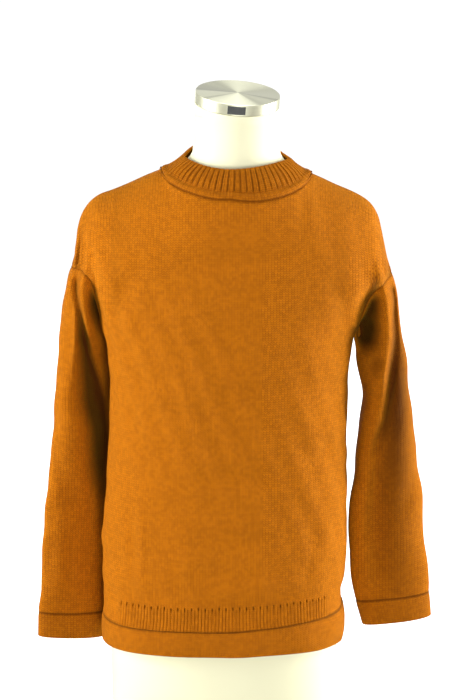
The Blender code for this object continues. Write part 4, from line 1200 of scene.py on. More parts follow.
class Reliefs:
    """Geometry Nodes groups that raise ribs, press slots and lay stitches."""

    # Groove tone is how much painted shade the ribs' grooves get; the slots get it in full.
    RIB_SIZES = {
        "Rib height": 0.0018, "Groove share": 0.40, "Groove tone": 0.5, "Dip": 0.18,
        "Slot depth": 0.003, "Slot width": 0.10,
    }
    STITCH_SIZES = {
        "Spacing": 0.0032, "Stitch length": 0.0026, "Yarn width": 0.0010, "Unevenness": 0.12,
    }
    STITCH_SEED = 7
    GROOVE_END = 0.97
    DIP_END = 0.34

    def __init__(self) -> None:
        """Build the two groups once."""
        self.ribs = self._rib_group()
        self.stitches = self._stitch_group()

    @staticmethod
    def _group(name: str, sizes: dict[str, float]) -> tuple[Nodes, dict[str, Value]]:
        """Start a group with a geometry, named sizes and a material as its inputs.

        Args:
            name: Name of the group.
            sizes: Its sizes, with what they are if nothing else is said.

        Returns:
            The group's nodes and its inputs by name.
        """
        tree = bpy.data.node_groups.new(name, "GeometryNodeTree")
        for way in ("INPUT", "OUTPUT"):
            tree.interface.new_socket("Geometry", in_out=way, socket_type="NodeSocketGeometry")
        for label, value in sizes.items():
            socket = tree.interface.new_socket(label, in_out="INPUT", socket_type="NodeSocketFloat")
            socket.default_value = value
        tree.interface.new_socket("Material", in_out="INPUT", socket_type="NodeSocketMaterial")
        nodes = Nodes(tree)
        start = nodes.add("NodeGroupInput")
        return nodes, {socket.name: Value(nodes, socket) for socket in start.outputs if socket.name}

    @staticmethod
    def _end(nodes: Nodes, made: Value, material: Value) -> NodeTree:
        """Realize a group's instances, set their material and hand them out."""
        real = nodes.value("GeometryNodeRealizeInstances", 0, {0: made})
        paint = {"Geometry": real, "Material": material}
        nodes.add("NodeGroupOutput", {0: nodes.value("GeometryNodeSetMaterial", 0, paint)})
        return nodes.tree

    def _rib_group(self) -> NodeTree:
        """Group that moves points outwards into ribs and inwards into slots, and paints shade into the
        grooves and the slots.
        """
        nodes, size = self._group("raised_ribs", self.RIB_SIZES)

        def stored(name: str, kind: str = "FLOAT") -> Value:
            """Value that a piece stores on its points."""
            kind_of_node = "GeometryNodeInputNamedAttribute"
            return nodes.value(kind_of_node, "Attribute", {"Name": name}, data_type=kind)

        rib, slotted = stored("rib_strength"), stored("slot_strength")
        edge = stored("rib_phase").from_middle() * 2.0
        groove = nodes.step(1.0 - size["Groove share"], self.GROOVE_END, edge)
        dip = 1.0 - nodes.step(0.0, self.DIP_END, edge)
        rise = (1.0 - groove - dip * size["Dip"]) * size["Rib height"] * rib
        slot = 1.0 - nodes.step(0.0, size["Slot width"], stored("slot_phase").from_middle())
        travel = rise - slot * size["Slot depth"] * slotted
        way = {0: stored("out_way", "FLOAT_VECTOR"), "Scale": travel}
        offset = nodes.value("ShaderNodeVectorMath", 0, way, operation="SCALE")
        # Painted shade: darker in the grooves and the slots, and never lighter than the piece's own painted
        # shade.
        deepest = nodes.maths("MAXIMUM", groove * rib * size["Groove tone"], slot * slotted)
        darkest = nodes.maths("MAXIMUM", deepest, stored("painted_shade"))
        shade = nodes.maths("MINIMUM", darkest, 1.0)
        painted_shade = {"Geometry": size["Geometry"], "Name": "painted_shade", "Value": shade}
        kind = "GeometryNodeStoreNamedAttribute"
        marked = nodes.value(kind, "Geometry", painted_shade, data_type="FLOAT", domain="POINT")
        moved = nodes.value("GeometryNodeSetPosition", 0, {"Geometry": marked, "Offset": offset})
        return self._end(nodes, moved, size["Material"])

    def _stitch_group(self) -> NodeTree:
        """Group that lays short stitches of yarn along a line."""
        nodes, size = self._group("laid_stitches", self.STITCH_SIZES)
        curve = nodes.value("GeometryNodeMeshToCurve", 0, {"Mesh": size["Geometry"]})
        spacing = {"Curve": curve, "Length": size["Spacing"]}
        points = nodes.value("GeometryNodeResampleCurve", 0, spacing, mode="LENGTH")
        ball = nodes.value("GeometryNodeMeshUVSphere", 0, {"Segments": 8, "Rings": 6, "Radius": 0.5})
        stitch = nodes.value("GeometryNodeSetShadeSmooth", 0, {0: ball})
        tangent = nodes.value("GeometryNodeInputTangent", 0)
        turn = nodes.value("FunctionNodeAlignRotationToVector", 0, {"Vector": tangent}, axis="X")
        yarn = {0: size["Stitch length"], 1: size["Yarn width"], 2: size["Yarn width"]}
        shape = nodes.value("ShaderNodeCombineXYZ", 0, yarn)
        uneven = size["Unevenness"]
        limits = {2: 1.0 - uneven, 3: uneven + 1.0, "Seed": self.STITCH_SEED}
        draw = nodes.value("FunctionNodeRandomValue", 1, limits, data_type="FLOAT")
        sized = nodes.value("ShaderNodeVectorMath", 0, {0: shape, "Scale": draw}, operation="SCALE")
        laid = {"Points": points, "Instance": stitch, "Rotation": turn, "Scale": sized}
        stitches = nodes.value("GeometryNodeInstanceOnPoints", 0, laid)
        return self._end(nodes, stitches, size["Material"])

    @staticmethod
    def apply(piece: Object, tree: NodeTree, material: Material, **sizes: float) -> Object:
        """Run a group on a piece and keep the result as its plain mesh.

        Args:
            piece: The piece that the group works on.
            tree: The group.
            material: Material that the result gets.
            sizes: The group's sizes, with _ for a space.

        Returns:
            The piece.
        """
        modifier = piece.modifiers.new(tree.name, "NODES")
        modifier.node_group = tree
        values: dict[str, object] = {key.replace("_", " "): value for key, value in sizes.items()}
        values["Material"] = material
        for item in tree.interface.items_tree:
            if item.item_type == "SOCKET" and item.in_out == "INPUT" and item.name in values:
                modifier[item.identifier] = values[item.name]
        mesh = keep_modified(piece)
        for name in ("rib_phase", "rib_strength", "slot_phase", "slot_strength", "out_way"):
            if name in mesh.attributes:
                mesh.attributes.remove(mesh.attributes[name])
        if not mesh.materials or mesh.materials[0] is not material:
            mesh.materials.clear()
            mesh.materials.append(material)
        return piece


@dataclass(frozen=True)
class Cut:
    """Flat size that a cloth piece was cut or knitted to, with its real area."""

    width: float
    length: float
    area: float


@dataclass
class Garment:
    """What every cloth piece shares: how it is reported and what it rests on."""

    rests_on: list[str] = field(default_factory=lambda: ["torso_form_body"])

    def declare(
        self,
        piece: Object,
        cut: Cut,
        nodes: tuple[str, ...],
        slot: str,
        held: str = "draped",
        extras: tuple[Object, ...] = (),
    ) -> Object:
        """Say what a cloth piece rides on and stands for.

        Args:
            piece: The finished piece.
            cut: Its flat size; not used.
            nodes: Solids that it stands for.
            slot: Material slot of the record; not used.
            held: How the cloth is held; not used.
            extras: Pieces that go with it; not used.

        Returns:
            The piece.
        """
        settle(piece, slot, *nodes)
        return piece


@dataclass
class Seam:
    """Line of yarn stitches along a seam.

    Attributes:
        reliefs: The Geometry Nodes groups.
        material: Yarn's material.
        spacing: Distance from stitch to stitch.
        length: Length of a stitch.
        yarn: Thickness of the yarn.
    """

    reliefs: Reliefs
    material: Material
    spacing: float = 0.0032
    length: float = 0.0030
    yarn: float = 0.0009

    def lay(self, name: str, line: Grid, closed: bool) -> Object:
        """Lay the stitches.

        Args:
            name: Name of the piece.
            line: Points of the seam.
            closed: Whether the line ends where it starts.

        Returns:
            The stitches as one piece.
        """
        count = len(line)
        edges = [(k, k + 1) for k in range(count - 1)] + ([(count - 1, 0)] if closed else [])
        mesh = bpy.data.meshes.new(name)
        mesh.from_pydata(line.tolist(), edges, [])
        piece = bpy.data.objects.new(name, mesh)
        bpy.context.scene.collection.objects.link(piece)
        self.reliefs.apply(
            piece,
            self.reliefs.stitches,
            self.material,
            Spacing=self.spacing,
            Stitch_length=self.length,
            Yarn_width=self.yarn,
        )
        return settle(piece, "knit")


def hem_height(column: str, side: Side, shares: Grid) -> Grid:
    """Height of one of the hem's lines at shares of the half width."""
    return HEM_LINES.at(column, side.sign * shares)


def hem_grid(face: Face, shares: Grid, top: tuple[str, float], low: tuple[str, float], rows: int) -> Grid:
    """Points of the front or the back between two lines of the hem.

    Args:
        face: Front or back.
        shares: Shares of the half width.
        top: Column of the upper line, and how far above it the points start.
        low: The same for the lower line.
        rows: Rows of points.

    Returns:
        The points, from the right side seam to the left one.
    """
    halves = []
    for side in (Side.RIGHT, Side.LEFT):
        high_line, low_line = (hem_height(name, side, shares) + shift for name, shift in (top, low))
        halves.append(body_half(side, face, shares, high_line, low_line, rows))
    return both_halves(*halves)


@dataclass
class Panel(Garment):
    """Front or back of the body, from the shoulders to the welt, with the ribbed band in it.

    Attributes:
        face: Front or back.
        seam_dent: How far the cloth is drawn in along a seam.
        seam_reach: Half the width of that dent.
        band_ribs: Ribs of the band.
        band_points: Columns for each rib.
        band_rows: Rows of the band.
        corner_reach: Share of the half width over which the neck's corners are softened.
        straight_reach: How far from the middle the wales above the underarm keep their spacing.
        corner_passes: How often they are.
    """

    face: Face = Face.FRONT
    seam_dent: float = 0.0009
    seam_reach: float = 0.0035
    band_ribs: int = 66
    band_points: int = 8
    band_rows: int = 40
    corner_reach: float = 0.13
    corner_passes: int = 90
    straight_reach: float = 0.165

    def relief(self, grid: Grid, normals: Grid, shares: Grid, top: Grid, low: Grid) -> Grid:
        """Lift a grid by the creases and the slack of the cloth.

        Args:
            grid: Points before they are lifted.
            normals: Unit normals at the points.
            shares: Signed share of each column.
            top: Distance of each point from the panel's upper edge.
            low: Distance of each point from the welt.

        Returns:
            The points, lifted.
        """
        x, z = grid[..., 0], grid[..., 2]
        fold = sum(crease.height(x, z) for crease in CREASES[self.face])
        across = shares[None, :] * HALF_FLAT_WIDTH
        fold = fold + Slack(0.0011, 11 if self.face is Face.FRONT else 23).at(across, z)
        from_side = (1.0 - np.abs(shares)) * HALF_FLAT_WIDTH
        mask = smoothstep(0.002, 0.045, top) * smoothstep(0.0, 0.030, low)
        mask = mask * smoothstep(0.0, 0.030, from_side)[None, :]
        dent = bell(from_side[None, :], self.seam_reach) + bell(top, self.seam_reach)
        lift = fold * mask - self.seam_dent * np.minimum(dent, 1.0)
        return grid + lift[..., None] * normals

    def grids(self) -> tuple[Grid, Grid, Grid, Grid, Grid]:
        """Outer and inner points, flat-cloth coordinates, kept cells and painted shade of the panel."""
        shares = column_shares()
        signed = np.concatenate([-shares[:0:-1], shares])
        down = np.linspace(0.0, 1.0, YOKE_ROWS)
        halves = []
        for side in (Side.RIGHT, Side.LEFT):
            rib_top = hem_height("rib_top", side, shares)
            welt_top = hem_height("welt_top", side, shares)
            underarm = np.full_like(shares, UNDERARM_Z)
            body = body_half(side, self.face, shares, underarm, rib_top, BODY_ROWS)
            strip = body_half(side, self.face, shares, rib_top, welt_top, STRIP_ROWS + 1)
            yoke = yoke_half(side, self.face, down, shares)
            halves.append(np.concatenate([yoke, body[1:], strip[1:]]))
        outer = both_halves(*halves)
        normals = face_normals(outer, self.face)
        normals[0, :, 1] = np.where(np.abs(signed) >= NECK_SHARE, 0.0, normals[0, :, 1])
        normals[YOKE_ROWS:, [0, -1], 1] = 0.0
        normals = unit(normals)
        normals[:YOKE_ROWS, 0] = armhole_facing(Side.RIGHT, self.face, down)
        normals[:YOKE_ROWS, -1] = armhole_facing(Side.LEFT, self.face, down)
        length = run_along(outer, 0)
        low = length[-1] - length
        outer, normals = self.soften(outer, normals, signed, length)
        hem = outer[-1, :, 2] - HEM_LINES.at("hem", signed)
        uv = np.stack([self.across(outer, signed), low + hem], axis=-1)
        outer = self.relief(outer, normals, signed, length, low)
        inner = outer - KNIT_WALL * normals
        keep = np.ones((outer.shape[0] - 1, outer.shape[1] - 1), bool)
        first = SIDE_COLUMNS
        keep[-STRIP_ROWS:, first:outer.shape[1] - 1 - first] = False
        return outer, inner, uv, keep, self.shade(outer, signed, length, low)

    def across(self, outer: Grid, signed: Grid) -> Grid:
        """Flat distance of each point from the centre line, so that the wales run straight up.

        Args:
            outer: Points of the outer face.
            signed: Signed share of each column.

        Returns:
            The distances, in metres.
        """
        plain = signed * HALF_FLAT_WIDTH
        x = outer[..., 0]
        middle = np.clip(x, -self.straight_reach, self.straight_reach)
        straight = np.interp(middle, outer[YOKE_ROWS - 1, :, 0], plain) + x - middle
        share = smoothstep(0.0, 0.05, outer[..., 2] - UNDERARM_Z)
        return plain * (1.0 - share) + straight * share

    def soften(self, outer: Grid, normals: Grid, signed: Grid, length: Grid) -> tuple[Grid, Grid]:
        """Smooth the cloth below the corners of the neck, where two top lines meet.

        Args:
            outer: Points of the outer face.
            normals: Their normals.
            signed: Signed share of each column.
            length: Distance of each point from the upper edge.

        Returns:
            The points and the normals, softened.
        """
        near = np.exp(-(((np.abs(signed) - NECK_SHARE) / self.corner_reach) ** 2))[None, 1:-1]
        weight = near * smoothstep(0.0, 0.030, length[:, 1:-1])
        grid = outer.copy()
        for _ in range(self.corner_passes):
            middle = (grid[:, :-2] + grid[:, 2:]) / 2.0
            grid[:, 1:-1] += weight[..., None] * 0.5 * (middle - grid[:, 1:-1])
        fresh = face_normals(grid, self.face)
        share = np.zeros(grid.shape[:2])
        share[:, 1:-1] = np.clip(weight * 4.0, 0.0, 1.0)
        return grid, unit(normals * (1.0 - share[..., None]) + fresh * share[..., None])

    def shade(self, outer: Grid, signed: Grid, length: Grid, low: Grid) -> Grid:
        """Painted shade at each point: darker in the cloth's folds and along its seams."""
        from_side = (1.0 - np.abs(signed))[None, :] * HALF_FLAT_WIDTH
        side_seam = bell(from_side, 0.0022) * np.ones_like(length)
        top_seam = bell(length, 0.0022)
        welt_seam = bell(low, 0.0016)
        total = np.maximum(np.maximum(0.35 * side_seam, 0.40 * top_seam), 0.75 * welt_seam)
        if self.face is Face.FRONT:
            for side in Side:
                here = np.sign(outer[..., 0]) == side.sign
                fold = fold_depth(ARM_FOLD[side], outer[..., 0], outer[..., 2]) / 0.022
                fold = fold + fold_depth(ARMPIT[side], outer[..., 0], outer[..., 2]) / POCKET_FULL_DEPTH
                fold = fold * (outer[..., 2] > UNDERARM_Z)
                total = np.maximum(total, np.where(here, np.minimum(fold, 0.7), 0.0))
        return total

    def make_panel(self, material: Material) -> Object:
        """Build the panel without its band."""
        outer, inner, uv, keep, painted_shade = self.grids()
        name = f"{self.face.word}_panel"
        mesh = shell_mesh(name, outer, inner, uv, keep, fields={"painted_shade": (painted_shade, painted_shade)})
        return add_piece(name, mesh, material)

    def make_band(self, reliefs: Reliefs, material: Material) -> Object:
        """Build the ribbed band with its row of slots."""
        half = np.linspace(0.0, RIB_BAND_SHARE, self.band_ribs * self.band_points // 2 + 1)
        signed = np.concatenate([-half[:0:-1], half])
        outer = hem_grid(self.face, half, ("rib_top", 0.0), ("welt_top", 0.0), self.band_rows)
        normals = face_normals(outer, self.face)
        low = outer[..., 2] - outer[-1:, :, 2]
        hem = outer[-1, :, 2] - HEM_LINES.at("hem", signed)
        uv = np.stack([np.broadcast_to(signed * HALF_FLAT_WIDTH, low.shape), low + hem], axis=-1)
        outer = self.relief(outer, normals, signed, np.full(low.shape, 1.0), low)
        name = f"{self.face.word}_hem_band"
        fields = self.rib_fields(normals, signed)
        mesh = shell_mesh(name, outer, outer - KNIT_WALL * normals, uv, fields=fields)
        piece = add_piece(name, mesh, material)
        return reliefs.apply(
            piece, reliefs.ribs, material, Rib_height=0.0010, Groove_share=0.40, Groove_tone=0.34, Dip=0.0,
            Slot_depth=0.0038, Slot_width=0.13,
        )

    def rib_fields(self, normals: Grid, signed: Grid) -> dict[str, tuple[Grid, Grid]]:
        """Where the band's ribs and slots lie, on its outer and its inner face, with painted shade along its
        upper seam.
        """
        size = normals.shape[:2]
        still = np.zeros(size)
        down = np.linspace(0.0, 1.0, size[0])[:, None]
        share = (signed / RIB_BAND_SHARE)[None, :]
        phase = (share + 1.0) / 2.0 * self.band_ribs
        inside = 1.0 - smoothstep(0.955, 0.995, np.abs(share))
        slot = np.floor(phase / 2.0 + 0.5)
        start = 0.045 + (0.012 * np.sin(2.3 * slot) + 0.008 * np.sin(5.1 * slot))
        below = 1.0 - smoothstep(start + 0.10, start + 0.17, down)
        slots = smoothstep(start, start + 0.04, down) * below * inside
        ribs = smoothstep(0.04, 0.16, down) * (1.0 - smoothstep(0.97, 1.0, down)) * inside
        # Painted shade along the band's upper seam.
        seam = 0.75 * np.exp(-(((1.0 - down) / 0.04) ** 2)) * np.ones(size)
        phase = np.broadcast_to(phase, size)
        return {
            "rib_phase": (phase, phase),
            "rib_strength": (ribs, still),
            "slot_phase": (phase / 2.0 + 0.5, phase / 2.0 + 0.5),
            "slot_strength": (slots, slots),
            "out_way": (normals, normals),
            "painted_shade": (seam, seam),
        }


def rolled_section(rows: Grid, normals: Grid, wall: float, down: Grid, steps: int = 6) -> Grid:
    """Loop of rows around a band: its outer face, a rounded lower edge and its inner face.

    Args:
        rows: Outer rows from the top to the lower edge.
        normals: Unit normals of the rows.
        wall: Thickness of the band.
        down: Unit way down at the lower edge, for each column.
        steps: Points of the rounded edge.

    Returns:
        The rows of the loop.
    """
    radius = wall / 2.0
    centre = rows[-1] - radius * normals[-1]
    turned = []
    for step in range(1, steps):
        angle = math.pi * step / steps
        turned.append(centre + radius * (math.cos(angle) * normals[-1] + math.sin(angle) * down))
    inner = (rows - wall * normals)[::-1]
    return np.concatenate([rows, np.array(turned), inner])


@dataclass
class HemWelt(Garment):
    """Plain turned welt below the band.

    Attributes:
        face: Front or back.
        wall: Thickness of the turned cloth.
        rows: Rows of its outer face.
    """

    face: Face = Face.FRONT
    wall: float = 0.0030
    rows: int = 16

    def make(self, material: Material) -> Object:
        """Build the welt."""
        shares = column_shares()
        signed = np.concatenate([-shares[:0:-1], shares])
        top, hem = ("welt_top", -HEM_ALLOWANCE / 4.0), ("hem", self.wall / 2.0)
        outer = hem_grid(self.face, shares, top, hem, self.rows)
        normals = face_normals(outer, self.face)
        normals[:, [0, -1], 1] = 0.0
        normals[..., 2] = 0.0
        normals = unit(normals)
        down = np.linspace(0.0, 1.0, self.rows)
        lift = 0.0007 * smoothstep(0.0, 0.16, down) - 0.0004
        wave = Slack(0.0009, 31, (0.05, 0.12)).at(signed[None, :] * HALF_FLAT_WIDTH, outer[..., 2])
        fade = smoothstep(0.0, 0.04, (1.0 - np.abs(signed)) * HALF_FLAT_WIDTH)[None, :]
        wave = wave * fade * smoothstep(0.0, 0.6, down)[:, None]
        outer = outer + (lift[:, None] + wave)[..., None] * normals
        way = np.broadcast_to(np.array([0.0, 0.0, -1.0]), outer[-1].shape)
        loop = rolled_section(outer, normals, self.wall, way)
        height = loop[..., 2] - HEM_LINES.at("hem", signed)[None, :]
        uv = np.stack([np.broadcast_to(signed * HALF_FLAT_WIDTH, height.shape), height], axis=-1)
        uv = np.concatenate([uv, uv[-1:] + np.array([0.0, 0.0024])])
        # Painted shade: a little over the whole welt, and most just under its seam.
        painted_shade = np.zeros(loop.shape[:2])
        painted_shade[: self.rows] = (0.07 + 0.63 * bell(down, 0.035))[:, None]
        name = f"{self.face.word}_hem_welt"
        return add_piece(name, section_mesh(name, loop, uv, False, {"painted_shade": painted_shade}), material)

    def seam_line(self) -> Grid:
        """Line of the seam over the welt."""
        shares = column_shares()
        halves = []
        for side in (Side.RIGHT, Side.LEFT):
            height = hem_height("welt_top", side, shares)
            halves.append(plan_point(side, self.face, height, shares)[None])
        line = both_halves(*halves)[0]
        return line + 0.0004 * unit(-line * np.array([1.0, 1.0, 0.0]))


@dataclass
class Collar(Garment):
    """Ribbed collar with a rolled base over the neck seam.

    Attributes:
        ribs: Ribs all around.
        points: Columns for each rib.
        top_half_width: Half width of the free edge.
        top_back_half_width: Its half width behind.
        top_front: Reach of the free edge before the middle.
        top_back: Its reach behind.
        top_side_z: Height of the free edge at the sides.
        front_drop: How far it dips in front.
        front_swing: How far to the right of the middle it dips most, in radians.
        side_lean: How much lower than the middle it lies behind the left side.
        back_rise: How far it rises behind.
        wall: Thickness.
        height: Length of its cloth from the seam to the edge.
    """

    ribs: int = 65
    points: int = 10
    top_half_width: float = 0.0765
    top_back_half_width: float = 0.0655
    top_front: float = 0.0855
    top_back: float = 0.0570
    top_side_z: float = 0.8113
    front_drop: float = 0.0108
    front_swing: float = 0.16
    side_lean: float = 0.0026
    back_rise: float = 0.0256
    wall: float = 0.0026
    height: float = 0.0460

    # Outer section from the seam to the free edge: share of the height, distance outwards
    SECTION = Table(
        "share out",
        (0, 0), (0.03, 1.6), (0.075, 3.1), (0.13, 3.5), (0.185, 2.7), (0.23, 1.6), (0.29, 1.8),
        (0.42, 2.9), (0.56, 3.3), (0.72, 2.4), (0.87, 1), (0.96, 0.2), (1, -0.4),
    )

    def free_edge(self, angle: Grid) -> Grid:
        """Points of the free edge; the angle runs from the right side over the front."""
        forward = np.sin(angle)
        half = self.top_back_half_width
        half = half + (self.top_half_width - half) * smoothstep(-0.55, 0.30, forward)
        x = NECK_MID_X - half * np.cos(angle)
        y = np.where(forward >= 0.0, -self.top_front * forward, -self.top_back * forward)
        swung = np.abs(np.sin(angle + self.front_swing * forward))
        drop = -self.front_drop * swung**2.6
        rise = self.back_rise * np.abs(forward) ** 1.08
        lean = self.side_lean * np.cos(angle) * smoothstep(-0.10, 0.35, -forward)
        return np.stack([x, y, self.top_side_z + lean + np.where(forward >= 0.0, drop, rise)], axis=-1)

    def base(self) -> Grid:
        """Points of the neck seam, once around, over the front first."""
        falling = np.linspace(1.0, 0.0, 60)
        rising = falling[::-1]
        runs = [
            neckline(Side.RIGHT, Face.FRONT, falling),
            neckline(Side.LEFT, Face.FRONT, rising),
            neckline(Side.LEFT, Face.BACK, falling),
            neckline(Side.RIGHT, Face.BACK, rising),
        ]
        return np.concatenate(runs + [runs[0][:1]])

    def make(self, reliefs: Reliefs, material: Material) -> Object:
        """Build the collar."""
        count = self.ribs * self.points
        base = along(self.base(), np.arange(count) / count)
        angle = np.arctan2(-base[:, 1], -(base[:, 0] - NECK_MID_X))
        top = self.free_edge(angle)
        rise = top - base
        around = unit(np.roll(base, -1, axis=0) - np.roll(base, 1, axis=0))
        out = unit(np.cross(around, unit(rise)))
        if np.sum(out * (base - base.mean(axis=0))) < 0.0:
            out = -out
        shares = np.concatenate([np.linspace(0.0, 0.26, 14)[:-1], np.linspace(0.26, 1.0, 20)])
        outer = base[None] + shares[:, None, None] * rise[None]
        roll = self.SECTION.at("out", shares)[:, None]
        forward = np.sin(angle)[None, :]
        low = 1.0 - smoothstep(0.20, 0.32, shares)[:, None]
        beside = 1.0 - smoothstep(0.15, 0.65, np.abs(forward))
        fade = 1.0 - (1.0 - 0.35 * low) * beside
        sag = 0.0022 * np.sin(math.pi * shares)[:, None] * beside
        outer = outer + (roll * fade - sag)[..., None] * out[None]
        up = unit(rise)
        radius = self.wall / 2.0
        centre = outer[-1] - radius * out
        turned = [
            centre + radius * (math.cos(math.pi * step / 6.0) * out + math.sin(math.pi * step / 6.0) * up)
            for step in range(1, 6)
        ]
        inner = (outer - self.wall * out[None])[::-1][::2]
        loop = np.concatenate([outer, np.array(turned), inner])
        around_place = np.arange(count + 1) / self.points * self.height * 0.167
        section = np.concatenate([shares * self.height, self.height + 0.0006 * np.arange(1, 6)])
        inside = np.linspace(self.height + 0.004, 2.0 * self.height, len(inner) + 1)
        section = np.concatenate([section, inside])
        uv = np.stack(np.meshgrid(around_place, section), axis=-1)
        strength = np.zeros(loop.shape[:2])
        start = 0.02 + 0.18 * (1.0 - beside)
        worn = (1.0 - 0.5 * smoothstep(0.93, 1.0, shares))[:, None]
        ribbed = smoothstep(0.0, 0.12, shares[:, None] - start) * worn
        rolled = (1.0 - smoothstep(0.18, 0.26, shares)) * smoothstep(0.02, 0.10, shares)
        strength[: len(shares)] = np.maximum(ribbed, 0.30 * rolled[:, None])
        strength[len(shares): len(shares) + 5] = np.array((0.5, 0.5, 0.45, 0.35, 0.2))[:, None]
        size = loop.shape[:2]
        # Painted shade: a little over the whole collar, more at the neck seam in front and along the top of
        # the roll, and more over its inner face.
        painted_shade = np.zeros(size)
        seam_shade = 0.40 * bell(shares, 0.030)[:, None] * (1.0 - 0.8 * beside)
        painted_shade[: len(shares)] = 0.12 + seam_shade
        painted_shade[: len(shares)] += (0.20 * np.exp(-(((shares - 0.27) / 0.035) ** 2)))[:, None]
        painted_shade[len(shares) + 5:] = 0.35
        fields = {
            "rib_phase": np.broadcast_to(np.arange(count) / self.points, size),
            "rib_strength": strength,
            "slot_phase": np.zeros(size),
            "slot_strength": np.zeros(size),
            "out_way": np.broadcast_to(out[None], loop.shape),
            "painted_shade": painted_shade,
        }
        piece = add_piece("ribbed_collar", section_mesh("ribbed_collar", loop, uv, True, fields), material)
        return reliefs.apply(
            piece, reliefs.ribs, material, Rib_height=0.0022, Groove_share=0.42, Groove_tone=0.60, Dip=0.14,
            Slot_depth=0.0, Slot_width=0.1,
        )

    def seam_line(self) -> Grid:
        """Line of the neck seam, drawn in under the roll."""
        line = along(self.base(), np.arange(360) / 360.0)
        centre = line.mean(axis=0)
        way = unit((line - centre) * np.array([1.0, 1.0, 0.0]))
        beside = 1.0 - smoothstep(0.15, 0.55, np.abs(way[:, 1]))
        line = line + (0.0008 - 0.0006 * beside)[:, None] * way
        line[:, 2] -= 0.0042 * beside
        return line


